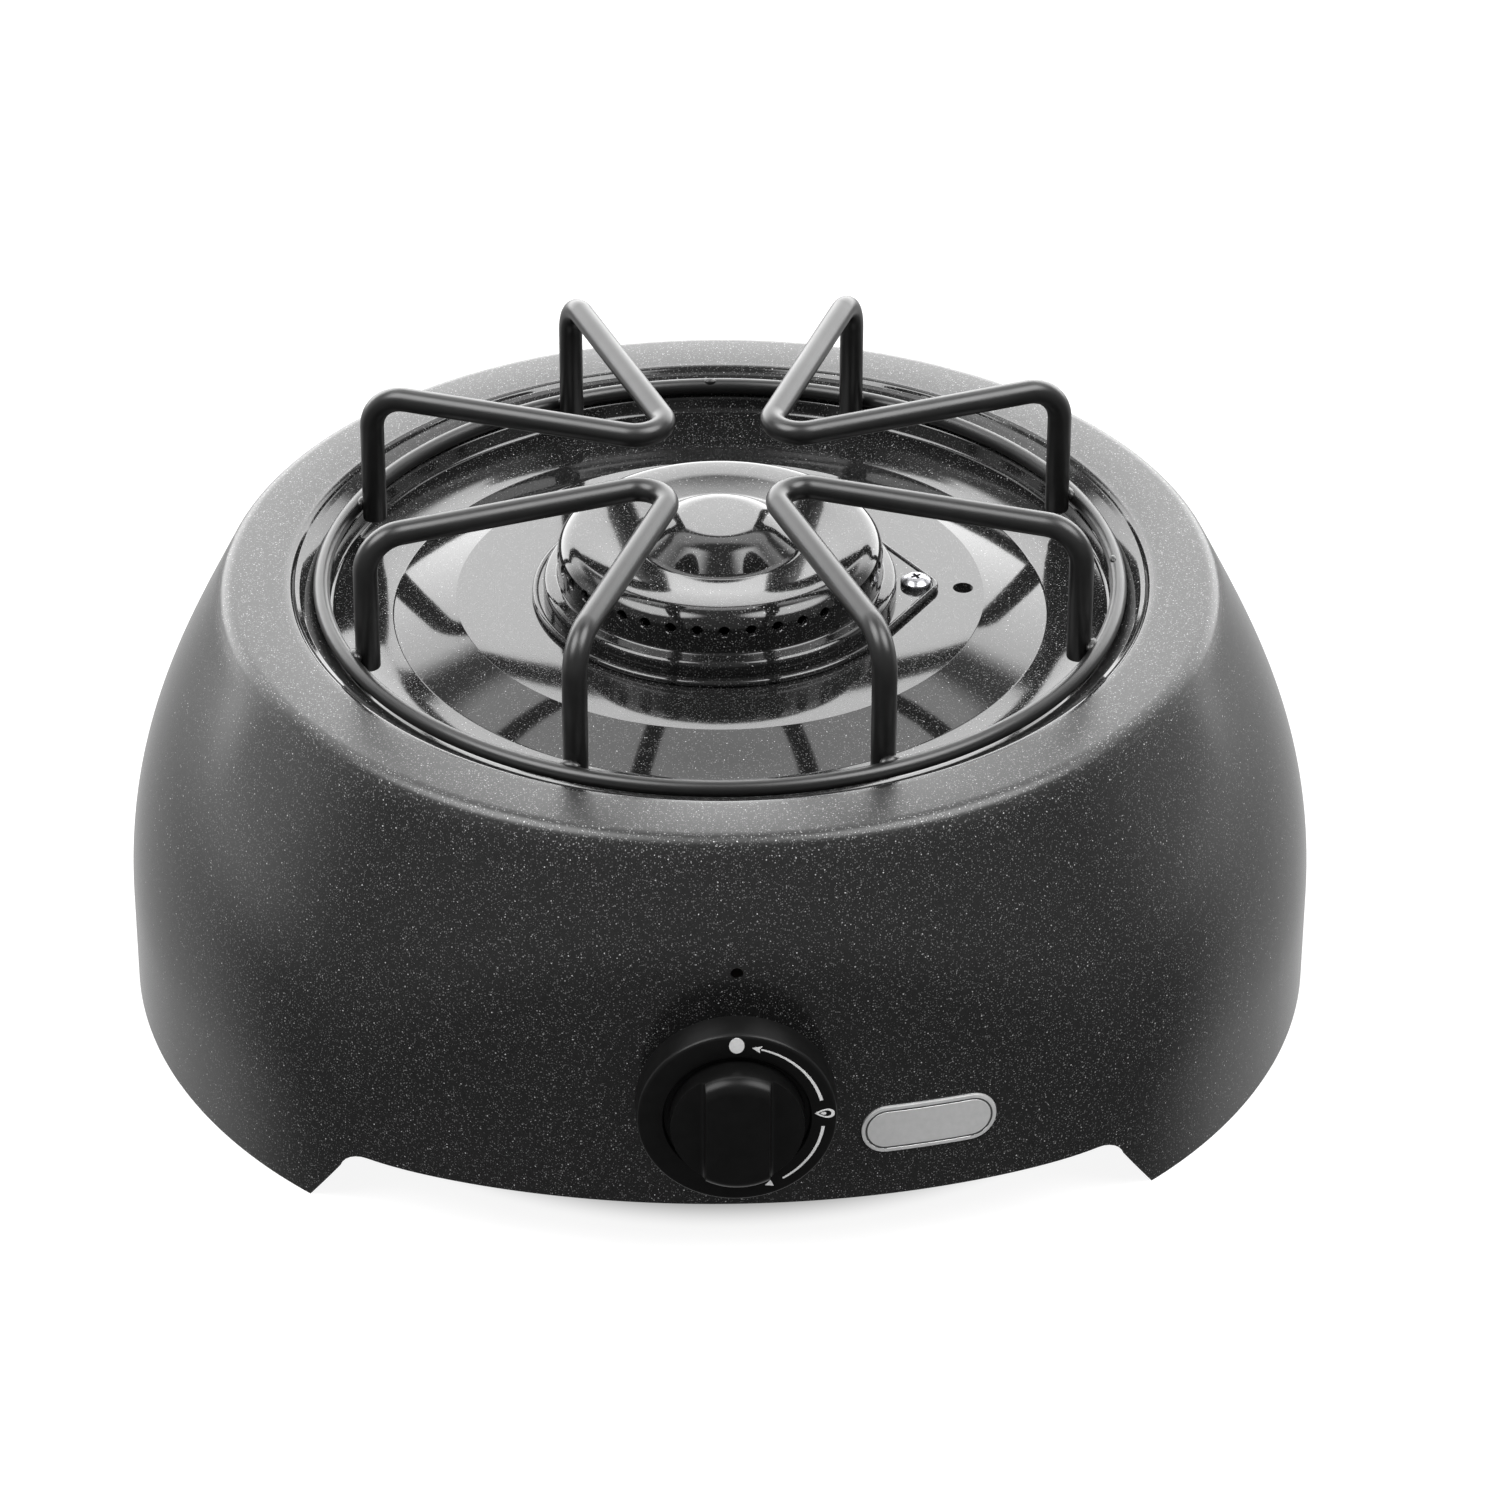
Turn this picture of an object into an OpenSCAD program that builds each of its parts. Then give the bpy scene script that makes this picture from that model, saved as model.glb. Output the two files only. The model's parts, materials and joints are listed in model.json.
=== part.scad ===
// Single-burner tabletop gas stove: a domed enamelled body with a sunk deck,
// a pressed burner, a lift-off wire pan support and a front tap with its knob.
// Millimetres. +Z is up, the knob faces -Y, and the burner axis stands on the origin.

/* [Body shell] */
// Diameter of the body at the table
base_d = 296; // [284:1:312]
// Height of the flat top ring above the table
body_h = 109; // [104:0.5:118]
// Thickness of the enamelled sheet
sheet = 1.2; // [0.8:0.1:1.6]
// Radius at which the sloped collar would meet the top ring if its edge were sharp
mouth_r = 102; // [101:0.25:103]
// Slope of the collar, in degrees from the level
collar_angle = 55; // [50:1:60]
// Rounding between the collar and the top ring
lip_round = 6; // [4:0.5:7]
// Width of the flat part of the top ring
top_ring_w = 13; // [12:0.5:16]
// Rounding between the top ring and the wall
edge_round = 6; // [4:0.5:8]
// Slope of the wall just below the top ring, in degrees from the level
wall_angle = 63; // [58:1:68]
// Height below which the wall stands upright
upright_h = 25; // [20:1:30]
// Height of the arches under the front and the rear
arch_h = 18; // [14:0.5:22]
// Width of each arch at the table
arch_w = 204; // [190:1:210]
// Sideways lean of each end of an arch
arch_lean = 10; // [6:1:14]
// Rounding of the upper corners of an arch
arch_round = 5; // [3:0.5:7]

/* [Front and rear faces] */
// Radius of the flattened front and rear faces, seen from above
face_r = 210; // [190:5:240]
// Distance by which each face is set in from the edge of the base, at the top of its arch
face_inset = 8.7; // [6:0.1:11]
// Backward lean of each face, in degrees
face_tilt = 4.5; // [3:0.25:6]
// Diameter of the index hole above the knob
index_d = 3; // [2:0.25:4]
// Clear height between the rim of the knob and the index hole
index_gap = 4; // [2:0.25:6]

/* [Deck] */
// Depth of the burner plateau below the top ring
plateau_drop = 6; // [5:0.25:7]
// Radius of the burner plateau
plateau_r = 65; // [60:0.5:68]
// Width of the slope round the plateau
slope_w = 16; // [12:0.5:18]
// Depth of the trough below the plateau
trough_drop = 3.5; // [2.5:0.25:5]
// Rounding of the bends in the deck
deck_round = 3; // [2:0.25:4]
// Distance of the spare screw hole from the edge of the plateau
spare_inset = 5; // [4:0.5:7]
// Diameter of the spare screw hole
spare_d = 5; // [4:0.25:6]

/* [Burner] */
// Thickness of the pressed burner sheet
burner_sheet = 1.2; // [0.8:0.1:1.5]
// Radius of the burner cap's skirt
cap_r = 40; // [38:0.5:42]
// Height of the crown above the plateau
crown_h = 16.4; // [15:0.2:18]
// Distance of the ridge of the crown from the skirt
crown_inset = 9; // [8:0.5:10]
// Depth of the valley below the crown
valley_drop = 0.8; // [0.5:0.1:1.5]
// Distance of the middle of the valley from the ridge of the crown
valley_inset = 10.5; // [9.5:0.5:11.5]
// Rise of the central dome above the crown
dome_rise = 4.7; // [3.5:0.1:5.5]
// Distance of the edge of the central dome from the middle of the valley
dome_inset = 8.9; // [8:0.1:10]
// Rounding of the crown's outer edge
crown_round = 4.7; // [4:0.1:6]
// Outward step of the crimped rim below the skirt
crimp_step = 3.5; // [3:0.25:4]
// Height of the crimped rim
crimp_h = 4.5; // [3.5:0.25:6]
// Width of the bowl's flange outside the crimped rim
rim_w = 2.9; // [2:0.1:3.5]
// Number of flame ports
port_count = 38; // [32:1:44]
// Diameter of a flame port
port_d = 2.6; // [2:0.1:3]
// Height of the flame ports above the plateau
port_h = 12; // [10:0.5:13]
// Distance of the burner screw from the edge of the flange
screw_out = 1.9; // [1.5:0.1:3]
// Radius of the ear round the burner screw
ear_r = 4.8; // [4.5:0.1:5.5]
// Half width of the ear where it leaves the flange
ear_half_w = 20; // [16:0.5:24]
// Depth of the bowl's neck below the plateau
neck_l = 14; // [11:0.5:18]

/* [Mixing tube] */
// Outer radius of the mixing tube
tube_r = 11; // [9:0.5:11.5]
// Wall of the mixing tube
tube_wall = 1.2; // [0.8:0.1:1.6]
// Radius of the tube's bend, on its centre line
tube_bend = 24; // [20:1:28]
// Flare of the tube's mouth
mouth_flare = 4; // [2:0.5:5]
// Length of the flared mouth
mouth_l = 8; // [6:0.5:10]
// Open gap for air between the injector and the mouth
air_gap = 3; // [2:0.5:5]

/* [Tap] */
// Height of the tap's axis above the table
tap_h = 50.4; // [48:0.2:53]
// Outer radius of the tap's barrel
barrel_r = 13; // [12.5:0.25:14]
// Length of the tap's body behind its plug seat
barrel_rear = 6; // [5:0.5:8]
// Gap between the tower of the bonnet and the inside of the front face
bonnet_gap = 7.4; // [5:0.2:9]
// Width of the tap's mounting flange outside each screw
flange_edge = 4.5; // [4:0.25:6]
// Height of the tap's mounting flange
flange_h = 22; // [20:0.5:24]
// Thickness of the tap's mounting flange
flange_t = 4; // [3:0.25:5]
// Gap between the bonnet's tower and the head of each flange screw
head_gap = 1.2; // [0.8:0.1:2]
// Radius of the conical plug seat at its front end
seat_front_r = 8; // [7.5:0.1:8.5]
// Radius of the conical plug seat at its rear end
seat_rear_r = 6.2; // [5.8:0.1:6.5]
// Length of the plug seat
seat_l = 22; // [20:0.5:24]
// Radial running clearance of the plug and the spindle
running_fit = 0.05; // [0.02:0.01:0.1]
// Thickness of the bracket that carries the tap
bracket_t = 2; // [1.5:0.25:2.5]
// Length of the bracket's welded foot, under the trough
bracket_foot = 9; // [6:0.5:11]
// Gap between the tap's body and the bracket's arm above it
bracket_gap = 2; // [1:0.25:4]
// Outer radius of the bonnet's tower
tower_r = 9.5; // [9.25:0.25:10.5]
// Radius of the chamber inside the tower
chamber_r = 7.5; // [7.25:0.05:7.75]
// Depth of the chamber in front of the bracket
chamber_l = 12; // [11:0.5:14]
// Thickness of the bonnet's plate and of the tower's front wall
bonnet_t = 2.5; // [2:0.25:3]

/* [Spindle and knob] */
// Radius of the spindle in front of the bonnet
spindle_r = 4; // [3.5:0.1:4.2]
// Inward travel of the knob when it is pushed
push_travel = 3; // [2:0.25:3.5]
// Turn of the knob from off to the smallest flame, in degrees
knob_turn = 160; // [120:5:180]
// Diameter of the return spring's wire
spring_wire = 0.9; // [0.6:0.1:1]
// Gap between the return spring and the stop in the bonnet
spring_gap = 0.15; // [0.1:0.05:0.3]
// Number of turns in the return spring
spring_turns = 5; // [3:0.5:6]
// Diameter of the knob's skirt
knob_d = 46.8; // [44:0.2:48]
// Thickness of the knob's skirt
skirt_t = 8; // [6:0.25:9]
// Rounding of the skirt's front edge
skirt_round = 3; // [2:0.25:4]
// Radius of the knob's hub
hub_r = 15.6; // [14.5:0.1:16.5]
// Rise of the hub in front of the skirt
hub_rise = 4; // [3:0.25:5]
// Rise of the grip bar in front of the skirt
bar_rise = 8; // [6:0.25:9]
// Width of the grip bar at its face
bar_w = 12.7; // [11:0.1:14]
// Width of the grip bar where it leaves the skirt
bar_foot_w = 16.6; // [15:0.1:18]
// Wall of the hollow knob
knob_wall = 1.8; // [1.4:0.1:2.2]
// Gap left behind the knob's rim when it is pushed home
knob_gap = 0.6; // [0.4:0.1:1.5]

/* [Gas inlet] */
// Outer radius of the inlet pipe
pipe_r = 4; // [3.5:0.25:4.75]
// Wall of the inlet pipe
pipe_wall = 1; // [0.8:0.1:1.2]
// Sideways place of the inlet pipe
pipe_x = 18; // [17:0.25:20]
// Drop of the inlet pipe below the tap's axis
pipe_drop = 13; // [12:0.25:15]
// Radius of the tap's inlet boss
boss_r = 8; // [7.5:0.25:8.5]
// Length by which the tap's inlet boss stands out behind the barrel
boss_out = 1; // [0.5:0.25:3]
// Size across the corners of the pipe's union nut
union_d = 18; // [16:0.5:18]
// Length of the union nut
union_l = 10; // [8:0.5:12]
// Radius of the hole for the grommet in the rear face
grommet_r = 8; // [7.5:0.25:9]
// Thickness of each lip of the grommet
grommet_lip = 2.5; // [2:0.25:3]
// Overhang of each lip past the hole
grommet_over = 2; // [1.5:0.25:2.5]
// Radius of the hose nipple
nipple_r = 5; // [4.5:0.1:5.5]
// Bore radius of the hose nipple
nipple_bore_r = 3; // [2.5:0.1:3.5]
// Length of the plain land at the root of the nipple
nipple_land = 4; // [3:0.5:5]
// Number of grooves in the nipple
nipple_grooves = 3; // [2:1:4]

/* [Pan support] */
// Distance of the support ring's wire from the sharp edge of the mouth
ring_inset = 4; // [3.5:0.25:5]
// Diameter of the ring's wire
ring_wire = 4; // [3:0.25:4.5]
// Diameter of the prong wire
prong_wire = 6; // [5:0.25:6.5]
// Rise of the pan's resting height above the ring's middle
pan_rise = 35.4; // [30:0.2:42]
// Length of the posts below the ring's middle
post_drop = 2.8; // [2:0.2:3.5]
// Angle between the two posts of one prong, seen from above
post_angle = 44.4; // [36:0.2:50]
// Distance from the burner axis at which the two legs of a prong would cross
prong_cross_r = 12.7; // [10:0.1:18]
// Radius of the bend at the top of a post, to the middle of the wire
post_bend = 9; // [7:0.5:12]
// Radius of the bend at the tip of a prong, to the middle of the wire
tip_bend = 7; // [6:0.25:9]
// Clearance between the support ring and the collar
seat_gap = 0.3; // [0.2:0.05:0.4]

/* [Name plate] */
// Length of the blank plate beside the knob
plate_l = 32; // [24:0.5:34]
// Height of the blank plate
plate_h = 12; // [8:0.5:14]
// Thickness of the blank plate
plate_t = 0.6; // [0.4:0.1:1]
// Sideways place of the middle of the plate
plate_x = 45.5; // [43:0.5:47]
// Height of the middle of the plate above the table
plate_z = 36; // [33:0.5:44]

/* [Hidden] */
$fn = 96;
corner_steps = 5;
wall_steps = 12;
wire_sides = 32;
// Length by which a cut runs past the face it opens
over = 1;
// Radius of an M4 screw, of its clearance hole and of its pan head
screw_r = 2;
screw_hole_r = 2.2;
screw_head_r = 3.8;
screw_head_h = 2.4;
// Share of the head's height that is upright, and of its radius left at the top
head_upright = 0.45;
head_top = 0.6;
// Length, width and depth of the cross in the head
cross_l = 4.4;
cross_w = 1;
cross_depth = 1.4;
// Clearance of pieces that are fixed to each other
seat_fit = 0.1;
// Clearance of pieces that are set apart from each other
free_gap = 0.3;
// Radial clearance of a hole that only lets a piece through
loose_fit = 0.5;

base_r = base_d / 2;
face_reach = base_r - face_inset;
plateau_z = body_h - plateau_drop;
trough_z = plateau_z - trough_drop;
lip_r = mouth_r + lip_round * tan(collar_angle / 2);
top_flat_r = lip_r + top_ring_w;
wall_corner_r = top_flat_r + edge_round * tan(wall_angle / 2);
trough_r = mouth_r - (body_h - trough_z) / tan(collar_angle);
facet_pivot = [0, -face_reach, arch_h];
spare_x = plateau_r - spare_inset;

crown_r = cap_r - crown_inset;
valley_r = crown_r - valley_inset;
dome_r = valley_r - dome_inset;
crimp_r = cap_r + crimp_step;
flange_r = crimp_r + rim_w;
screw_x = flange_r + screw_out;

// Distance of the front face from the burner axis at a height
function face_at(height) = face_reach - (height - arch_h) * tan(face_tilt);
// How far the face falls back at a distance to one side
function face_fall(side) = face_r - sqrt(face_r * face_r - side * side);

knob_r = knob_d / 2;
spindle_hole_r = 6;
knob_back = face_at(tap_h - knob_r) + push_travel + knob_gap;
skirt_front = knob_back + skirt_t;
knob_front = skirt_front + bar_rise;
spindle_tip = skirt_front + hub_rise / 2;

barrel_l = seat_l + barrel_rear;
bonnet_front = face_at(tap_h) - sheet - bonnet_gap;
chamber_front = bonnet_front - bonnet_t;
bonnet_back = chamber_front - chamber_l;
tap_face = bonnet_back - bracket_t;
tap_rear = tap_face - barrel_l;
flange_screw_x = tower_r + head_gap + screw_head_r;
flange_w = 2 * (flange_screw_x + flange_edge);
injector_hex_l = 5;
injector_hex_r = 6.5;
injector_nose_l = 8;
injector_nose_r = 3.5;
injector_tip_r = 2.6;
jet_r = 0.5;
jet_l = 2;
injector_tip = tap_rear - injector_hex_l - injector_nose_l;
tube_mouth = injector_tip - air_gap;

neck_r = tube_r + seat_fit;
neck_hole_r = neck_r + burner_sheet + loose_fit;

pipe_z = tap_h - pipe_drop;
pipe_front = tap_rear - boss_out;
boss_l = tap_face - flange_t - pipe_front;
socket_l = 4;
rear_wall_out = face_at(pipe_z - grommet_r) - face_fall(pipe_x - grommet_r);
rear_skin = face_at(pipe_z + grommet_r) - face_fall(pipe_x + grommet_r);
rear_wall_in = rear_skin - sheet / cos(face_tilt) - free_gap;
nipple_root = rear_wall_out + grommet_lip + free_gap;
nipple_hex_l = 4;
nipple_hex_r = 8;
groove_depth = 0.6;
groove_l = 1.2;

ring_r = mouth_r - ring_inset;
ring_rest = (ring_wire / 2 + seat_gap) / cos(collar_angle);
ring_z = body_h - ring_inset * tan(collar_angle) + ring_rest;
post_r = ring_r - ring_wire / 2 - prong_wire / 2;
prong_z = ring_z + pan_rise - prong_wire / 2;

enamel = [0.16, 0.16, 0.17];
wire_black = [0.07, 0.07, 0.07];
knob_black = [0.05, 0.05, 0.05];
brass = [0.72, 0.58, 0.30];
steel = [0.62, 0.63, 0.65];
rubber = [0.10, 0.10, 0.10];
plate_grey = [0.82, 0.82, 0.82];

// Paths

function unit(v) = v / norm(v);
function turned(v, a) = [v[0] * cos(a) - v[1] * sin(a), v[0] * sin(a) + v[1] * cos(a)];
function flat_point(p) = [p[0], p[1]];

// The arc that rounds the corner b between its neighbours a and c
function rounded_corner(a, b, c, radius) =
    let (
        u = unit(a - b),
        v = unit(c - b),
        half = acos(u * v) / 2,
        centre = b + unit(u + v) * radius / sin(half),
        from = b + u * radius / tan(half) - centre,
        to = b + v * radius / tan(half) - centre,
        sweep = sign(from[0] * to[1] - from[1] * to[0]) * (180 - 2 * half)
    )
    [for (i = [0:corner_steps]) centre + turned(from, sweep * i / corner_steps)];

// A path through [x, y, rounding] corners, without its first and last guide points
function rounded_path(corners) = [
    for (i = [1:len(corners) - 2])
        each corners[i][2] > 0
            ? rounded_corner(flat_point(corners[i - 1]), flat_point(corners[i]),
                             flat_point(corners[i + 1]), corners[i][2])
            : [flat_point(corners[i])]
];

// A path moved to its right-hand side, seen along the path
function inset(path, depth) = [
    for (i = [0:len(path) - 1])
        let (along = unit(path[min(i + 1, len(path) - 1)] - path[max(i - 1, 0)]))
        path[i] + depth * [along[1], -along[0]]
];

function curve(p, t) =
    p[0] * pow(1 - t, 3) + 3 * p[1] * t * pow(1 - t, 2) + 3 * p[2] * t * t * (1 - t) + p[3] * pow(t, 3);

// Body

// How far up the wall its upright foot is felt
foot_pull = 0.4;
wall_slope = [cos(wall_angle), -sin(wall_angle)];
wall_start = [wall_corner_r, body_h] + wall_slope * edge_round * tan(wall_angle / 2);
wall_end = [base_r, upright_h];
wall_span = norm(wall_end - wall_start);
wall_handles = [
    wall_start,
    wall_start + wall_slope * wall_span / 3,
    wall_end + [0, wall_span * foot_pull],
    wall_end
];

// The outer skin, from the burner axis over the deck and the top ring and down the wall
deck_and_ring = rounded_path([
    [-over, plateau_z, 0],
    [0, plateau_z, 0],
    [plateau_r, plateau_z, deck_round],
    [plateau_r + slope_w, trough_z, deck_round],
    [trough_r, trough_z, deck_round],
    [mouth_r, body_h, lip_round],
    [wall_corner_r, body_h, edge_round],
    [wall_corner_r + wall_slope[0] * wall_span, body_h + wall_slope[1] * wall_span, 0]
]);
wall = [for (i = [1:wall_steps]) curve(wall_handles, i / wall_steps)];
skin = concat(deck_and_ring, wall);

module in_face() {
    translate(facet_pivot) rotate([-face_tilt, 0, 0]) translate([0, face_r, 0]) children();
}

// Everything in front of a flattened face
module face_trim(radius) {
    difference() {
        translate([-base_d, -base_d, -2 * over]) cube([2 * base_d, base_d, body_h + 4 * over]);
        in_face() cylinder(r = radius, h = 3 * body_h, center = true);
    }
}

module dome(path, floor_z, radius) {
    foot = [path[len(path) - 1][0], floor_z];
    difference() {
        rotate_extrude() polygon(concat(path, [foot, [0, floor_z]]));
        face_trim(radius);
        mirror([0, 1, 0]) face_trim(radius);
    }
}

module arch_cut() {
    half = arch_w / 2;
    slope = arch_lean / arch_h;
    rotate([90, 0, 0])
        linear_extrude(height = 2 * base_d, center = true)
            polygon(rounded_path([
                [0, -over, 0],
                [-half - slope * over, -over, 0],
                [-half + arch_lean, arch_h, arch_round],
                [half - arch_lean, arch_h, arch_round],
                [half + slope * over, -over, 0],
                [0, -over, 0]
            ]));
}

// Local z runs forward along the tap's axis, measured from the burner axis
module on_tap_axis() {
    translate([0, 0, tap_h]) rotate([90, 0, 0]) children();
}

// Local z runs forward along the inlet pipe
module on_pipe_axis() {
    translate([pipe_x, 0, pipe_z]) rotate([90, 0, 0]) children();
}

module body_shell() {
    index_z = tap_h + knob_r + index_gap + index_d / 2;
    color(enamel) difference() {
        dome(skin, 0, face_r);
        dome(inset(skin, sheet), -over, face_r - sheet);
        arch_cut();
        translate([0, 0, trough_z]) cylinder(r = neck_hole_r, h = plateau_drop + trough_drop);
        translate([screw_x, 0, trough_z]) cylinder(r = screw_hole_r, h = plateau_drop + trough_drop);
        translate([spare_x, 0, trough_z]) cylinder(d = spare_d, h = plateau_drop + trough_drop);
        on_tap_axis() translate([0, 0, bonnet_front]) cylinder(r = spindle_hole_r, h = base_r);
        translate([0, 0, index_z]) rotate([90, 0, 0]) cylinder(d = index_d, h = base_r);
        on_pipe_axis() translate([0, 0, -base_r]) cylinder(r = grommet_r, h = base_r - trough_r);
    }
}

module name_plate() {
    straight = plate_l - plate_h;
    color(plate_grey) intersection() {
        in_face() difference() {
            cylinder(r = face_r + plate_t, h = 3 * body_h, center = true);
            cylinder(r = face_r, h = 4 * body_h, center = true);
        }
        translate([plate_x, 0, plate_z]) rotate([90, 0, 0]) union() {
            translate([-straight / 2, -plate_h / 2, 0]) cube([straight, plate_h, base_d]);
            for (side = [-1, 1])
                translate([side * straight / 2, 0, 0]) cylinder(d = plate_h, h = base_d);
        }
    }
}

// Burner

flange_top = plateau_z + burner_sheet;
crown_z = plateau_z + crown_h;

bead_r = 1;

module burner_bowl() {
    color(enamel) difference() {
        union() {
            translate([0, 0, plateau_z]) cylinder(r = flange_r - bead_r, h = burner_sheet);
            translate([0, 0, plateau_z + bead_r])
                rotate_extrude() translate([flange_r - bead_r, 0]) circle(r = bead_r, $fn = wire_sides);
            translate([0, 0, plateau_z - neck_l])
                cylinder(r = neck_r + burner_sheet, h = neck_l + burner_sheet);
            translate([0, 0, plateau_z]) linear_extrude(height = burner_sheet) union() {
                translate([screw_x, 0]) circle(r = ear_r);
                polygon([
                    [cap_r, -ear_half_w],
                    [screw_x + ear_r / 2, -ear_r * sqrt(3) / 2],
                    [screw_x + ear_r / 2, ear_r * sqrt(3) / 2],
                    [cap_r, ear_half_w]
                ]);
            }
        }
        translate([0, 0, plateau_z - neck_l - over])
            cylinder(r = neck_r, h = neck_l + burner_sheet + 2 * over);
        translate([screw_x, 0, plateau_z - over]) cylinder(r = screw_hole_r, h = burner_sheet + 2 * over);
        translate([screw_x, 0, flange_top]) cylinder(r = screw_head_r + free_gap, h = screw_head_h);
    }
}

// Roundings of the pressed cap, all larger than its sheet where they turn inwards
dome_round = 7;
valley_round = 3;
ridge_round = 60;
crimp_in_round = 0.8;
crimp_out_round = 1.5;
crimp_fall = 0.6;
cap_skin = rounded_path([
    [-over, crown_z + dome_rise, 0],
    [0, crown_z + dome_rise, 0],
    [dome_r, crown_z + dome_rise, dome_round],
    [valley_r, crown_z - valley_drop, valley_round],
    [crown_r, crown_z, ridge_round],
    [cap_r, crown_z, crown_round],
    [cap_r, flange_top + crimp_h, crimp_in_round],
    [crimp_r, flange_top + crimp_h - crimp_fall, crimp_out_round],
    [crimp_r, flange_top, 0],
    [crimp_r, plateau_z, 0]
]);

module burner_cap() {
    inner = inset(cap_skin, burner_sheet);
    color(enamel) difference() {
        rotate_extrude() polygon(concat(cap_skin, [for (i = [len(inner) - 1:-1:0]) inner[i]]));
        for (i = [0:port_count - 1])
            rotate([0, 0, (i + 0.5) * 360 / port_count])
                translate([cap_r - 2 * burner_sheet, 0, plateau_z + port_h])
                    rotate([0, 90, 0]) cylinder(d = port_d, h = 4 * burner_sheet, $fn = wire_sides);
    }
}

// A pan-head screw whose head sits on z = 0, with its shank pointing down
module pan_screw(length) {
    upright = screw_head_h * head_upright;
    difference() {
        union() {
            cylinder(r = screw_head_r, h = upright);
            translate([0, 0, upright])
                cylinder(r1 = screw_head_r, r2 = screw_head_r * head_top, h = screw_head_h - upright);
            translate([0, 0, -length]) cylinder(r = screw_r, h = length);
        }
        for (a = [45, 135])
            rotate([0, 0, a]) translate([-cross_l / 2, -cross_w / 2, screw_head_h - cross_depth])
                cube([cross_l, cross_w, screw_head_h]);
    }
}

screw_nut_h = 3;
screw_nut_r = 4;
screw_l = burner_sheet + sheet + screw_nut_h + over;

module burner_screw() {
    color(steel) translate([screw_x, 0, flange_top]) pan_screw(screw_l);
}

module burner_nut() {
    color(steel) translate([screw_x, 0, plateau_z - sheet - screw_nut_h]) difference() {
        cylinder(r = screw_nut_r, h = screw_nut_h, $fn = 6);
        translate([0, 0, -over]) cylinder(r = screw_r + running_fit, h = screw_nut_h + 2 * over);
    }
}

module ring_section(radius, wall) {
    difference() {
        circle(r = radius);
        circle(r = radius - wall);
    }
}

module mixing_tube() {
    bell_back = tube_mouth - mouth_l;
    riser_top = plateau_z - burner_sheet;
    color(steel) union() {
        translate([0, 0, tap_h + tube_bend])
            linear_extrude(height = riser_top - tap_h - tube_bend) ring_section(tube_r, tube_wall);
        translate([0, -tube_bend, tap_h + tube_bend]) rotate([0, -90, 0]) rotate([0, 0, 90])
            rotate_extrude(angle = 90) translate([tube_bend, 0]) ring_section(tube_r, tube_wall);
        on_tap_axis() translate([0, 0, tube_bend])
            linear_extrude(height = bell_back - tube_bend) ring_section(tube_r, tube_wall);
        on_tap_axis() translate([0, 0, bell_back]) rotate_extrude() polygon([
            [tube_r - tube_wall, 0],
            [tube_r, 0],
            [tube_r + mouth_flare, mouth_l],
            [tube_r + mouth_flare - tube_wall, mouth_l]
        ]);
    }
}

// Tap

injector_thread_r = 3.9;
injector_thread_l = 4;
// Radius of the gas ways drilled in the tap
gas_r = 1.9;

module injector() {
    color(brass) on_tap_axis() difference() {
        union() {
            translate([0, 0, injector_tip])
                cylinder(r1 = injector_tip_r, r2 = injector_nose_r, h = injector_nose_l);
            translate([0, 0, tap_rear - injector_hex_l])
                cylinder(r = injector_hex_r, h = injector_hex_l, $fn = 6);
            translate([0, 0, tap_rear]) cylinder(r = injector_thread_r, h = injector_thread_l);
        }
        translate([0, 0, injector_tip - over]) cylinder(r = jet_r, h = injector_nose_l);
        translate([0, 0, injector_tip + jet_l]) cylinder(r = gas_r, h = barrel_l);
    }
}

// A strip welded under the trough, stepped down over the tap and bent down in front of it
module tap_bracket() {
    weld_r = plateau_r + slope_w + deck_round;
    leg_r = weld_r + bracket_foot;
    top_z = trough_z - sheet;
    arm_z = tap_h + barrel_r + bracket_gap;
    bottom_z = tap_h - flange_h / 2;
    color(steel) difference() {
        translate([flange_w / 2, 0, 0]) rotate([90, 0, -90]) linear_extrude(height = flange_w) polygon([
            [weld_r, top_z],
            [leg_r, top_z],
            [leg_r, arm_z + bracket_t],
            [bonnet_back, arm_z + bracket_t],
            [bonnet_back, bottom_z],
            [tap_face, bottom_z],
            [tap_face, arm_z],
            [leg_r - bracket_t, arm_z],
            [leg_r - bracket_t, top_z - bracket_t],
            [weld_r, top_z - bracket_t]
        ]);
        on_tap_axis() translate([0, 0, tap_face - over]) {
            cylinder(r = chamber_r, h = bracket_t + 2 * over);
            screw_holes(screw_hole_r, bracket_t + 2 * over);
        }
    }
}

module flange_plate(thickness) {
    translate([-flange_w / 2, -flange_h / 2, 0]) cube([flange_w, flange_h, thickness]);
}

module screw_holes(radius, depth) {
    for (side = [-1, 1])
        translate([side * flange_screw_x, 0, 0]) cylinder(r = radius, h = depth);
}

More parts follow.
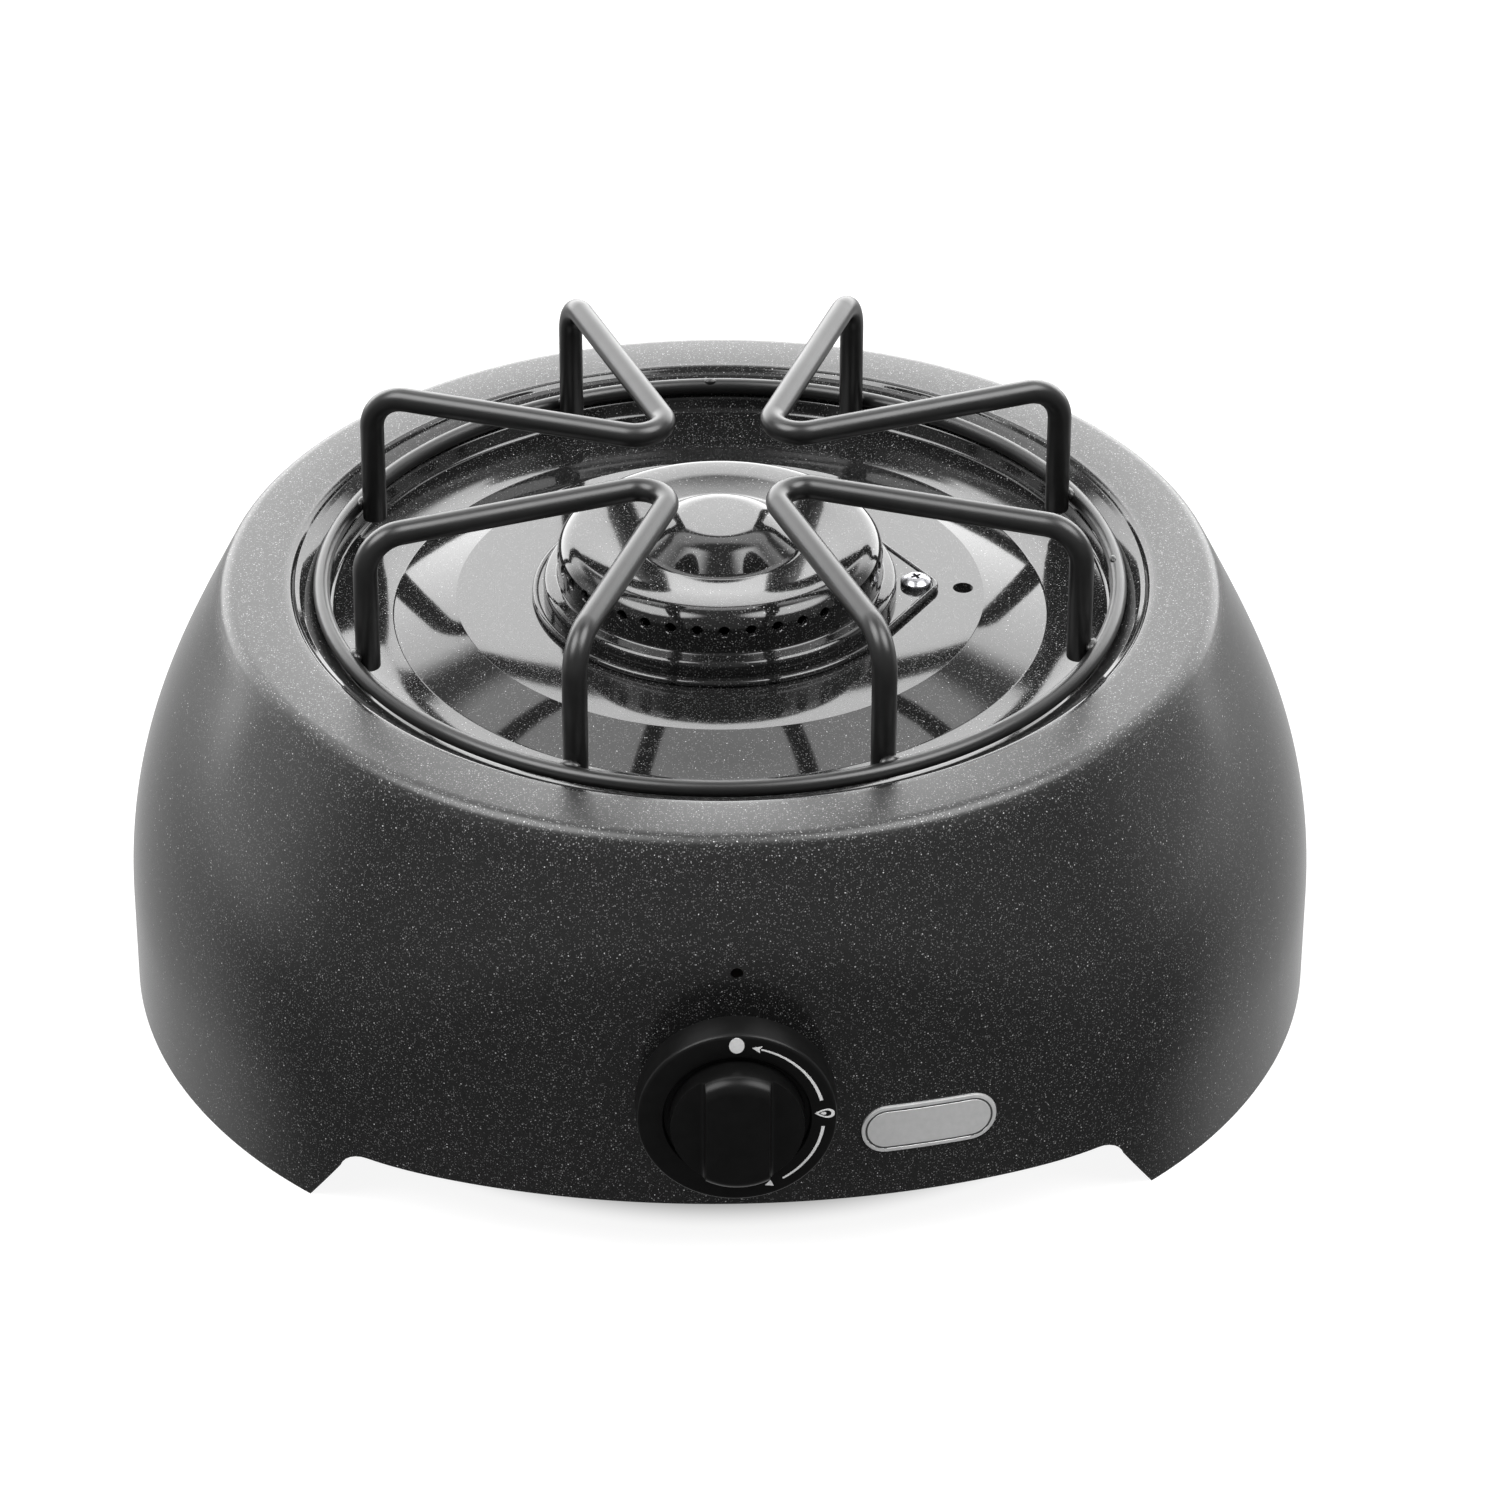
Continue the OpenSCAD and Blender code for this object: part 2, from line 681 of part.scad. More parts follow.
module tap_body() {
    seat_back = tap_face - seat_l;
    boss_mid = pipe_front + boss_l / 2;
    color(brass) on_tap_axis() difference() {
        union() {
            translate([0, 0, tap_rear]) cylinder(r = barrel_r, h = barrel_l);
            translate([0, 0, tap_face - flange_t]) flange_plate(flange_t);
            translate([pipe_x, -pipe_drop, pipe_front]) cylinder(r = boss_r, h = boss_l);
            translate([0, -pipe_drop - boss_r / 2, pipe_front + over])
                cube([pipe_x, pipe_drop, boss_l - over]);
        }
        translate([0, 0, seat_back]) cylinder(r1 = seat_rear_r, r2 = seat_front_r, h = seat_l);
        translate([0, 0, tap_rear - over])
            cylinder(r = injector_thread_r + running_fit, h = injector_thread_l + over);
        translate([0, 0, tap_rear]) cylinder(r = gas_r, h = barrel_l - seat_l + over);
        translate([0, 0, tap_face - flange_t - over])
            screw_holes(screw_r + running_fit, flange_t + 2 * over);
        translate([pipe_x, -pipe_drop, pipe_front - over])
            cylinder(r = pipe_r + seat_fit, h = socket_l + over);
        translate([pipe_x, -pipe_drop, pipe_front])
            cylinder(r = pipe_r - pipe_wall, h = boss_l / 2 + 2 * gas_r);
        translate([pipe_x, -pipe_drop, boss_mid]) rotate([0, 0, atan2(pipe_drop, -pipe_x)])
            rotate([0, 90, 0]) cylinder(r = gas_r, h = norm([pipe_x, pipe_drop]) - seat_rear_r + over);
    }
}

// Width of the spindle's lug, the angle kept clear for it and the depth of the stop it meets
lug_w = 3;
lug_angle = 36;
stop_depth = 1.7;

module tap_bonnet() {
    stop_from = 90 + knob_turn + lug_angle / 2;
    stop_turn = 360 - knob_turn - lug_angle;
    stop_in = chamber_r - stop_depth;
    color(brass) on_tap_axis() difference() {
        union() {
            difference() {
                union() {
                    translate([0, 0, bonnet_back]) flange_plate(bonnet_t);
                    translate([0, 0, bonnet_back]) cylinder(r = tower_r, h = bonnet_front - bonnet_back);
                }
                translate([0, 0, bonnet_back - over]) cylinder(r = chamber_r, h = chamber_l + over);
            }
            translate([0, 0, bonnet_back + bonnet_t]) rotate([0, 0, stop_from])
                rotate_extrude(angle = stop_turn)
                    translate([stop_in, 0])
                        square([stop_depth + loose_fit, chamber_l - bonnet_t + loose_fit]);
        }
        translate([0, 0, bonnet_back]) cylinder(r = spindle_r + running_fit, h = bonnet_front);
        translate([0, 0, bonnet_back - over]) screw_holes(screw_hole_r, bonnet_t + 2 * over);
    }
}

module bonnet_screws() {
    length = bonnet_t + bracket_t + flange_t;
    color(steel) on_tap_axis() for (side = [-1, 1])
        translate([side * flange_screw_x, 0, bonnet_back + bonnet_t]) pan_screw(length);
}

plug_slot_w = 3;
plug_slot_l = 9;
plug_front = tap_face - free_gap;

module tap_plug() {
    taper = (seat_front_r - seat_rear_r) / seat_l;
    length = seat_l - 2 * free_gap;
    rear_r = seat_rear_r + taper * free_gap - running_fit;
    color(brass) on_tap_axis() translate([0, 0, plug_front - length]) difference() {
        cylinder(r1 = rear_r, r2 = rear_r + taper * length, h = length);
        translate([-plug_slot_w / 2, -barrel_r, length - plug_slot_l])
            cube([plug_slot_w, 2 * barrel_r, barrel_l]);
        translate([0, 0, -over]) cylinder(r = gas_r, h = length - plug_slot_l - gas_r + over);
    }
}

// Spindle and knob

spring_r = chamber_r - stop_depth - spring_gap - spring_wire / 2;
collar_r = chamber_r - stop_depth - loose_fit;
collar_l = 2;
flat_depth = 1.2;
collar_back = chamber_front - collar_l - seat_fit;
tongue_back = plug_front - plug_slot_l + push_travel + over;
rod_back = plug_front + push_travel + loose_fit;

module spindle() {
    lug_out = chamber_r - free_gap;
    rod_r = spring_r - spring_wire - loose_fit;
    color(steel) on_tap_axis() difference() {
        union() {
            translate([-plug_slot_w / 2 + seat_fit, -rod_r, tongue_back])
                cube([plug_slot_w - 2 * seat_fit, 2 * rod_r, rod_back - tongue_back + over]);
            translate([0, 0, rod_back]) cylinder(r = rod_r, h = collar_back - rod_back + over);
            translate([0, 0, collar_back]) cylinder(r = collar_r, h = collar_l);
            translate([-lug_w / 2, 0, collar_back]) cube([lug_w, lug_out, collar_l]);
            translate([0, 0, collar_back]) cylinder(r = spindle_r, h = spindle_tip - collar_back);
        }
        translate([-spindle_r, -spindle_r - flat_depth, knob_back])
            cube([2 * spindle_r, 2 * flat_depth, knob_front]);
    }
}

// A coil of round wire along z, from 0 to its length, as one closed tube
spring_sides = 6;
spring_rings = 12;

function coil_ring(turn, rise, side) =
    let (across = spring_r + spring_wire / 2 * cos(side))
    [across * cos(turn), across * sin(turn), rise + spring_wire / 2 * sin(side)];

module coil(length) {
    count = ceil(spring_turns * spring_rings);
    run = length - spring_wire;
    rings = [for (i = [0:count]) for (k = [0:spring_sides - 1])
        coil_ring(360 * spring_turns * i / count, spring_wire / 2 + run * i / count,
            360 * k / spring_sides)];
    sides = [for (i = [0:count - 1]) for (k = [0:spring_sides - 1])
        let (a = i * spring_sides + k, b = i * spring_sides + (k + 1) % spring_sides)
        each [[a, a + spring_sides, b], [b, a + spring_sides, b + spring_sides]]];
    last = count * spring_sides;
    caps = [for (k = [1:spring_sides - 2]) each [[0, k, k + 1], [last, last + k + 1, last + k]]];
    polyhedron(rings, concat(sides, caps), convexity = 10);
}

module spindle_spring() {
    color(steel) on_tap_axis() translate([0, 0, plug_front + seat_fit])
        coil(collar_back - plug_front - 2 * seat_fit);
}

clip_wall = 0.4;
clip_gap_angle = 60;
socket_r = spindle_r + clip_wall + 2 * seat_fit;
// Draft of the moulded knob
knob_draft = 0.6;

module knob() {
    depth = skirt_t + bar_rise;
    hub_top = skirt_t + hub_rise;
    bar = [
        [-bar_foot_w / 2, skirt_t - over],
        [bar_foot_w / 2, skirt_t - over],
        [bar_w / 2, depth],
        [-bar_w / 2, depth]
    ];
    color(knob_black) on_tap_axis() translate([0, 0, knob_back]) difference() {
        union() {
            rotate_extrude() polygon(concat([[0, 0]], rounded_path([
                [0, 0, 0],
                [knob_r, 0, 0],
                [knob_r - knob_draft, skirt_t, skirt_round],
                [0, skirt_t, 0]
            ]), [[0, skirt_t]]));
            translate([0, 0, skirt_t]) cylinder(r1 = hub_r, r2 = hub_r - knob_draft, h = hub_rise);
            intersection() {
                rotate([90, 0, 0]) linear_extrude(height = 2 * knob_r, center = true) polygon(bar);
                cylinder(r = hub_r - knob_draft / 2, h = depth);
            }
        }
        difference() {
            union() {
                translate([0, 0, -over]) cylinder(r = knob_r - knob_wall, h = skirt_t - knob_wall + over);
                cylinder(r = hub_r - knob_draft - knob_wall, h = hub_top - knob_wall);
            }
            translate([0, 0, -2 * over]) cylinder(r = socket_r + knob_wall, h = depth);
        }
        translate([0, 0, -over]) cylinder(r = socket_r, h = spindle_tip - knob_back + over + seat_fit);
    }
}

module knob_clip() {
    color(steel) on_tap_axis() translate([0, 0, knob_back]) rotate([0, 0, clip_gap_angle / 2 - 90])
        rotate_extrude(angle = 360 - clip_gap_angle)
            translate([spindle_r + seat_fit, 0]) square([clip_wall, spindle_tip - knob_back]);
}

// Gas inlet

module inlet_pipe() {
    rear = nipple_root + socket_l - over;
    color(steel) on_pipe_axis() translate([0, 0, -rear]) difference() {
        cylinder(r = pipe_r, h = rear + pipe_front + socket_l - seat_fit);
        translate([0, 0, -over]) cylinder(r = pipe_r - pipe_wall, h = 2 * base_d);
    }
}

module union_nut() {
    color(brass) on_pipe_axis() translate([0, 0, pipe_front - union_l]) difference() {
        cylinder(d = union_d, h = union_l, $fn = 6);
        translate([0, 0, -over]) cylinder(r = pipe_r + seat_fit, h = union_l + 2 * over);
    }
}

module pipe_grommet() {
    out = -rear_wall_out;
    in = -rear_wall_in;
    lip_r_out = grommet_r + grommet_over;
    bore_r = pipe_r + seat_fit;
    color(rubber) on_pipe_axis() rotate_extrude() polygon([
        [bore_r, out - grommet_lip],
        [lip_r_out, out - grommet_lip],
        [lip_r_out, out],
        [grommet_r - seat_fit, out],
        [grommet_r - seat_fit, in],
        [lip_r_out, in],
        [lip_r_out, in + grommet_lip],
        [bore_r, in + grommet_lip]
    ]);
}

module hose_nipple() {
    tip = knob_front;
    ribbed = tip - nipple_root - nipple_hex_l - nipple_land;
    pitch = ribbed / (nipple_grooves + 1);
    color(brass) on_pipe_axis() translate([0, 0, -tip]) difference() {
        union() {
            cylinder(r = nipple_r, h = tip - nipple_root);
            translate([0, 0, tip - nipple_root - nipple_hex_l])
                cylinder(r = nipple_hex_r, h = nipple_hex_l, $fn = 6);
        }
        for (i = [1:nipple_grooves])
            translate([0, 0, i * pitch]) rotate_extrude()
                polygon([[nipple_r - groove_depth, 0], [nipple_r + over, -groove_l], [nipple_r + over, 0]]);
        translate([0, 0, -over]) cylinder(r = nipple_bore_r, h = tip);
        translate([0, 0, tip - nipple_root - socket_l + over]) cylinder(r = pipe_r + seat_fit, h = socket_l);
    }
}

// Pan support

module support_ring() {
    color(wire_black) translate([0, 0, ring_z])
        rotate_extrude() translate([ring_r, 0]) circle(d = ring_wire, $fn = wire_sides);
}

module wire_bend(radius, turn) {
    rotate_extrude(angle = turn) translate([radius, 0]) circle(d = prong_wire, $fn = wire_sides);
}

// One half of a prong, from its post to the middle of its tip
module half_prong() {
    half = post_angle / 2;
    post = [post_r * cos(half), post_r * sin(half)];
    leg = post - [prong_cross_r, 0];
    splay = atan2(leg[1], leg[0]);
    straight = norm(leg) - tip_bend / tan(splay);
    intersection() {
        translate(post) rotate([0, 0, 180 + splay]) union() {
            translate([0, 0, ring_z - post_drop])
                cylinder(d = prong_wire, h = prong_z - post_bend - ring_z + post_drop, $fn = wire_sides);
            translate([post_bend, 0, prong_z - post_bend]) rotate([90, 0, 0]) rotate([0, 0, 90])
                wire_bend(post_bend, 90);
            translate([post_bend, 0, prong_z]) rotate([0, 90, 0])
                cylinder(d = prong_wire, h = straight - post_bend, $fn = wire_sides);
            translate([straight, tip_bend, prong_z]) rotate([0, 0, -90]) wire_bend(tip_bend, 90);
        }
        translate([-base_r, 0, 0]) cube([base_d, base_d, 2 * body_h]);
    }
}

// A prong has its tip towards the burner axis and its two posts further out
module prong_at(angle) {
    color(wire_black) rotate([0, 0, angle]) union() {
        half_prong();
        mirror([0, 1, 0]) half_prong();
    }
}

body_shell();
name_plate();
burner_bowl();
burner_cap();
burner_screw();
burner_nut();
mixing_tube();
injector();
tap_bracket();
tap_body();
tap_bonnet();
bonnet_screws();
tap_plug();
spindle();
spindle_spring();
knob();
knob_clip();
inlet_pipe();
union_nut();
pipe_grommet();
hose_nipple();
support_ring();
prong_at(45);  // prong_back_right
prong_at(135);  // prong_back_left
prong_at(225);  // prong_front_left
prong_at(315);  // prong_front_right
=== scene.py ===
# %% [markdown]
# # A single-burner gas stove, dressed for its picture
# The imported model gives every piece its place. This lesson loads it as a fixed frame,
# then makes the pieces that are seen, one by one, with the tools a modeller uses by hand.

# %% Load the frame
import json
import math
import bpy
import numpy as np
from mathutils import Matrix, Vector


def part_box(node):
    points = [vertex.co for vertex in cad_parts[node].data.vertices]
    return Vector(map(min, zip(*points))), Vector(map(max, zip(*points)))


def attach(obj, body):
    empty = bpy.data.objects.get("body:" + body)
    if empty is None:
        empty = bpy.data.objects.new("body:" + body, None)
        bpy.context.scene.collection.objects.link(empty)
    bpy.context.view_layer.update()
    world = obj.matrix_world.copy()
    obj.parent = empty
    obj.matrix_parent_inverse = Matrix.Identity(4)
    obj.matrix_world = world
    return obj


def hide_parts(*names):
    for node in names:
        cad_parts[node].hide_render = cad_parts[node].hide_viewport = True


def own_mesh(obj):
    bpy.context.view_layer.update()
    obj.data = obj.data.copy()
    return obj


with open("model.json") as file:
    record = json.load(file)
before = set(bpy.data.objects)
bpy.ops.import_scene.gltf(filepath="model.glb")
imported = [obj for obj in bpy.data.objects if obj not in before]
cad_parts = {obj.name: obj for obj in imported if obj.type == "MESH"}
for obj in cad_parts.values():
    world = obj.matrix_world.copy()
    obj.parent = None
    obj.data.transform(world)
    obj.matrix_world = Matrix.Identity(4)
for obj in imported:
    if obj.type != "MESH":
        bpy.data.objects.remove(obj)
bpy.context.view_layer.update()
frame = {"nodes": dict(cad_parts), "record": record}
MM = 0.001

# %% [markdown]
# ## The camera
# The photo was taken from in front with a long lens, looking down by about 32 degrees.
# The stove stood turned by a degree and a half, so the camera is moved round by that much.
# A small sideways shift puts the stove left of the middle of the frame, as in the photo.

# %% Set the camera
TURN = math.radians(1.5)
DISTANCE = 1287 * MM
CAMERA_Z = 859.4 * MM
LOOK_DOWN = 31.93
SENSOR = 36
LENS = 145.6
SHIFT = 0.0187
bpy.ops.object.camera_add(
    location=(-DISTANCE * math.sin(TURN), -DISTANCE * math.cos(TURN), CAMERA_Z),
    rotation=(math.radians(90 - LOOK_DOWN), 0, -TURN))
camera = bpy.context.object
camera.data.sensor_width = SENSOR
camera.data.lens = LENS
camera.data.shift_x = SHIFT
camera.data.dof.use_dof = False
bpy.context.scene.camera = camera
bpy.context.scene.view_settings.view_transform = "Standard"
print("camera at", tuple(camera.location))

# %% [markdown]
# ## Values that a shader can reckon with
# A finish is a small web of nodes. Drawing each link by hand hides the idea, so one class
# wraps a socket and lets plain sums stand for Math nodes. Another class holds a material
# and has one method that adds any other node: its settings first, then its sockets.

# %% Write shader sums as expressions
class Value:
    """One output socket of a finish. Sums on it add Math nodes."""

    def __init__(self, finish, socket):
        self.finish = finish
        self.socket = socket

    def math(self, operation, first, second=0.0):
        return self.finish.node("ShaderNodeMath", {"operation": operation}, {0: first, 1: second})

    def __add__(self, other):
        return self.math("ADD", self, other)

    def __sub__(self, other):
        return self.math("SUBTRACT", self, other)

    def __rsub__(self, other):
        return self.math("SUBTRACT", other, self)

    def __mul__(self, other):
        return self.math("MULTIPLY", self, other)

    def __truediv__(self, other):
        return self.math("DIVIDE", self, other)

    def __gt__(self, other):
        return self.math("GREATER_THAN", self, other)

    __radd__ = __add__

    def step(self, low, high):
        """Rises smoothly from 0 at low to 1 at high."""
        return self.finish.node(
            "ShaderNodeMapRange", {"interpolation_type": "SMOOTHSTEP"},
            {"Value": self, "From Min": low, "From Max": high})


class Finish:
    """A node tree, with helpers that add nodes to it."""

    def __init__(self, tree):
        self.tree = tree

    def node(self, kind, settings=None, sockets=None, out=0):
        node = self.tree.nodes.new(kind)
        for name, setting in (settings or {}).items():
            setattr(node, name, setting)
        for name, value in (sockets or {}).items():
            if isinstance(value, Value):
                self.tree.links.new(value.socket, node.inputs[name])
            else:
                node.inputs[name].default_value = value
        return Value(self, node.outputs[out])

    def place(self):
        return self.node("ShaderNodeTexCoord", out="Object")

    def noise(self, scale, detail=2.0, rough=0.5):
        return self.node("ShaderNodeTexNoise", None, {
            "Vector": self.place(), "Scale": scale, "Detail": detail, "Roughness": rough})

    def part(self, vector, axis):
        return self.node("ShaderNodeSeparateXYZ", None, {"Vector": vector}, out=axis)

    def blend(self, share, dark, light):
        """A colour between two, by a share from 0 to 1."""
        sockets = {0: share, 6: dark, 7: light}
        return self.node("ShaderNodeMix", {"data_type": "RGBA"}, sockets, out=2)

    def beyond(self, near, far):
        """Rises smoothly from 0 to 1 between two distances from the stove's axis."""
        spot = self.place()
        across, along = self.part(spot, "X"), self.part(spot, "Y")
        return (across * across + along * along).step(near ** 2, far ** 2)


class Surface(Finish):
    """A material: constants go straight to the shader, what varies is linked."""

    def __init__(self, name, **constants):
        self.material = bpy.data.materials.new(name)
        self.material.use_nodes = True
        super().__init__(self.material.node_tree)
        self.shader = self.tree.nodes["Principled BSDF"]
        for socket, value in constants.items():
            self.shader.inputs[socket.replace("_", " ")].default_value = value

    def feed(self, socket, value):
        self.tree.links.new(value.socket, self.shader.inputs[socket])

    def bump(self, height, depth, strength):
        self.feed("Normal", self.node("ShaderNodeBump", None, {
            "Height": height, "Distance": depth, "Strength": strength}))


def grey(level):
    return (level, level, level, 1)


print("shader sums ready")

# %% [markdown]
# ## The studio
# The picture is a plain studio one: a white floor and soft light. The glossy deck is a mirror of
# what is behind the stove, so the light is set as a field of brightness by direction, in the
# world: a bright wall behind that ends a little above the camera's mirrored view, a weaker panel
# over it, a glow low behind and to the sides, a softbox over each shoulder, and a dim room on the
# camera's side. Every panel fades at its edges, and the glow at the side is weaker on the right.

# %% Light the studio
ROOM_LIGHT = 0.34
BACK_LIGHT = 5.2
UPPER_LIGHT = 2.5
BOX_LIGHT = 9.5
SIDE_LIGHT = 0.9
LOW_LIGHT = 0.5
BOX_X, BOX_Y, BOX_Z = 0.52, -0.21, 0.83
BOX_CORE, BOX_RIM = math.radians(14), math.radians(26)
# each pair is where an edge of a panel begins and ends its fade, in a direction of length 1
BACK_TURN, BACK_FOOT, BACK_HEAD = (0.40, 0.72), (-0.16, -0.02), (0.57, 0.63)
UPPER_TURN, UPPER_FOOT, UPPER_HEAD = (0.1, 0.4), (0.67, 0.72), (0.87, 0.95)
SIDE_TURN, SIDE_FRONT, SIDE_FOOT, SIDE_HEAD = (0.12, 0.45), (-0.3, 0.2), (-0.3, 0.0), (0.3, 0.6)
RIGHT_TURN, RIGHT_LOSS = (-0.1, 0.1), 0.45
LOW_TURN, LOW_HEAD = (-0.1, 0.4), (-0.12, 0.0)
ROOM_RISE, ROOM_LEAST = (-0.55, 0.15), 0.35

world = bpy.data.worlds.new("studio_light")
bpy.context.scene.world = world
world.use_nodes = True
sky = Finish(world.node_tree)
direction = sky.node("ShaderNodeTexCoord", out="Generated")
sky_x, sky_y, sky_z = (sky.part(direction, axis) for axis in "XYZ")


def softbox(side):
    """A round glow over one shoulder, soft at its rim."""
    near = sky.node("ShaderNodeVectorMath", {"operation": "DOT_PRODUCT"},
                    {0: direction, 1: (side * BOX_X, BOX_Y, BOX_Z)}, out="Value")
    return near.step(math.cos(BOX_RIM), math.cos(BOX_CORE))


back_wall = sky_y.step(*BACK_TURN) * sky_z.step(*BACK_FOOT) * (1 - sky_z.step(*BACK_HEAD))
upper = sky_y.step(*UPPER_TURN) * sky_z.step(*UPPER_FOOT) * (1 - sky_z.step(*UPPER_HEAD))
room = ROOM_LEAST + sky_z.step(*ROOM_RISE) * (1 - ROOM_LEAST)
right_hand = 1 - sky_x.step(*RIGHT_TURN) * RIGHT_LOSS
beside = (sky_x * sky_x).step(*SIDE_TURN) * sky_y.step(*SIDE_FRONT) * right_hand
sides = beside * sky_z.step(*SIDE_FOOT) * (1 - sky_z.step(*SIDE_HEAD))
low_back = sky_y.step(*LOW_TURN) * (1 - sky_z.step(*LOW_HEAD))
boxes = softbox(1) + softbox(-1)
level = (room * ROOM_LIGHT + back_wall * BACK_LIGHT + upper * UPPER_LIGHT + sides * SIDE_LIGHT
         + low_back * LOW_LIGHT + boxes * BOX_LIGHT)
background = world.node_tree.nodes["Background"]
world.node_tree.links.new(level.socket, background.inputs["Strength"])
background.inputs["Color"].default_value = grey(1)
print("studio lit")

# %% [markdown]
# ## The floor
# The stove stands on white paper that is lit until no grain shows. A floor that glows a little by
# itself gets there without a brighter studio. Its glow is left out under the stove, a painted
# shadow for the light that the sheet keeps out, and it is left out of reflections, where the dim
# room takes its place.

# %% Lay the floor
FLOOR_SIZE = 60
FLOOR_GLOW = 0.9
UNDER_STOVE, IN_THE_OPEN = 105 * MM, 125 * MM
bpy.ops.object.select_all(action="DESELECT")
bpy.ops.mesh.primitive_plane_add(size=FLOOR_SIZE)
floor = bpy.context.object
floor.name = "studio_floor"
floor.visible_glossy = False
paper = Surface("studio_paper", Roughness=0.9, Specular_IOR_Level=0.0, Emission_Strength=FLOOR_GLOW)
paper.feed("Base Color", paper.blend(paper.noise(3.0), grey(0.16), grey(0.19)))
# painted shadow: the floor's glow is off in a disc under the stove and comes back between the two
# radii
glow_less_painted_shadow = paper.blend(paper.beyond(UNDER_STOVE, IN_THE_OPEN), grey(0), grey(1))
paper.feed("Emission Color", glow_less_painted_shadow)
floor.data.materials.append(paper.material)
print("floor laid,", FLOOR_SIZE, "m wide")

# %% [markdown]
# ## Finishes
# The body and the burner are steel under glossy dark enamel with pale grains in it. The grains
# are cells of a Voronoi pattern: each cell draws its own size and paleness, and many cells stay
# empty. A finer pattern of the same kind is the dust between them. The deck shines most and the
# wall a little less, and the flat top ring is hazy, so the shine follows the distance from the
# axis.
# On the ring the grains and the dust are also painted paler, a painted sheen for the light the ring
# reflects. The other finishes are quieter, but each has its own grain and wear.

# %% Mix the enamel
GRAIN = 0.75 * MM
DUST = GRAIN * 0.62
RING_FROM, RING_TO = 105 * MM, 108 * MM
WALL_FROM, WALL_TO = 121.5 * MM, 126 * MM
DECK_ROUGH, RING_ROUGHER, WALL_SMOOTHER = 0.05, 0.29, 0.21
LEAST_DOT, DOT_EDGE = 0.1, (0.55, 1.0)
# the first is how strongly the painted sheen on the flat top ring shows
RING_SHEEN_SHARE, RELIEF = 0.3, 0.35
enamel = Surface("speckled_enamel", IOR=1.5)


def grains(spacing, most, empty):
    """Pale dots: one Voronoi cell each, of its own size, and none in the empty share."""
    cells = {"Vector": enamel.place(), "Scale": 1 / spacing, "Randomness": 1.0}
    near = enamel.node("ShaderNodeTexVoronoi", None, cells, out="Distance")
    lot = enamel.node("ShaderNodeTexVoronoi", None, cells, out="Color")
    size = enamel.part(lot, "X") * most + LEAST_DOT
    shown = enamel.part(lot, "Y") > empty
    dot = 1 - (near / size).step(*DOT_EDGE)
    return dot * shown, enamel.part(lot, "Z")


on_ring = enamel.beyond(RING_FROM, RING_TO)
on_wall = enamel.beyond(WALL_FROM, WALL_TO)
# painted sheen: a mask for the flat top ring only, where the dust and grains are painted paler
painted_ring_sheen = on_ring * (1 - on_wall) * RING_SHEEN_SHARE
dots, paleness = grains(GRAIN, 0.20, 0.45)
dust, shade = grains(DUST, 0.42, 0.08)
ground = enamel.blend(enamel.noise(900.0), grey(0.004), grey(0.010))
ground = enamel.blend(dust * (0.25 + shade * 0.75), ground, grey(0.075))
# painted sheen: paler dust on the flat top ring
ground = enamel.blend(painted_ring_sheen * dust * shade, ground, grey(0.4))
pale = enamel.blend(paleness * paleness * paleness, grey(0.06), grey(0.34))
# painted sheen: paler grains on the flat top ring
pale = enamel.blend(painted_ring_sheen, pale, grey(0.6))
enamel.feed("Base Color", enamel.blend(dots, ground, pale))
enamel.bump(enamel.noise(260.0, 1.0) + dust * RELIEF + dots * RELIEF, 0.02 * MM, 0.25)
drift = enamel.noise(35.0) * 0.04
enamel.feed("Roughness", DECK_ROUGH + drift + on_ring * RING_ROUGHER - on_wall * WALL_SMOOTHER)
print("enamel grains of", GRAIN)

# %% Mix the metals, plastics and rubber
def coat(name, tone, shine=None, relief=None, **constants):
    """A plain finish. Tone is (scale, dark, light), shine is (scale, least roughness, spread)
    and relief is (scale, depth, strength), each by a noise of its own scale."""
    surface = Surface(name, **constants)
    scale, dark, light = tone
    surface.feed("Base Color", surface.blend(surface.noise(scale), grey(dark), grey(light)))
    if shine:
        scale, least, spread = shine
        surface.feed("Roughness", least + surface.noise(scale) * spread)
    if relief:
        scale, depth, strength = relief
        surface.bump(surface.noise(scale), depth * MM, strength)
    return surface


def metal(name, dark, light, rough, scale):
    """A bare metal whose tone and shine wander a little, with fine tool marks."""
    surface = Surface(name, Metallic=1.0)
    drift = surface.noise(scale, 4.0, 0.6)
    surface.feed("Base Color", surface.blend(drift, dark, light))
    surface.feed("Roughness", rough + surface.noise(scale * 4) * 0.16)
    surface.bump(surface.noise(scale * 9), 0.01 * MM, 0.5)
    return surface


wire_coat = coat("satin_black_wire", (220.0, 0.003, 0.008), (90.0, 0.27, 0.12),
                 (420.0, 0.02, 0.5), IOR=1.5)
knob_plastic = coat("black_knob_plastic", (300.0, 0.002, 0.004), (160.0, 0.26, 0.1),
                    (2500.0, 0.01, 0.4), IOR=1.48, Specular_IOR_Level=0.16)
rubber = coat("grommet_rubber", (260.0, 0.012, 0.03), (120.0, 0.6, 0.25),
              (800.0, 0.03, 0.6), IOR=1.5)
plate_metal = coat("satin_plate", (700.0, 0.42, 0.52), (400.0, 0.38, 0.15), Metallic=0.6)
plate_line = coat("dark_plate_line", (900.0, 0.012, 0.03), Roughness=0.5)
dial_print = coat("grey_dial_print", (1500.0, 0.36, 0.46), Roughness=0.55)
brass = metal("turned_brass", (0.50, 0.34, 0.13, 1), (0.68, 0.50, 0.23, 1), 0.24, 120.0)
zinc = metal("zinc_plate", (0.42, 0.43, 0.45, 1), (0.60, 0.61, 0.63, 1), 0.30, 90.0)
bright = metal("bright_plate", (0.26, 0.26, 0.27, 1), (0.40, 0.40, 0.42, 1), 0.18, 200.0)
finishes = {"enamel": enamel, "wire_black": wire_coat, "knob_black": knob_plastic, "brass": brass,
            "steel": zinc, "bright_steel": bright, "rubber": rubber, "plate": plate_metal}
print("finishes", sorted(finishes))

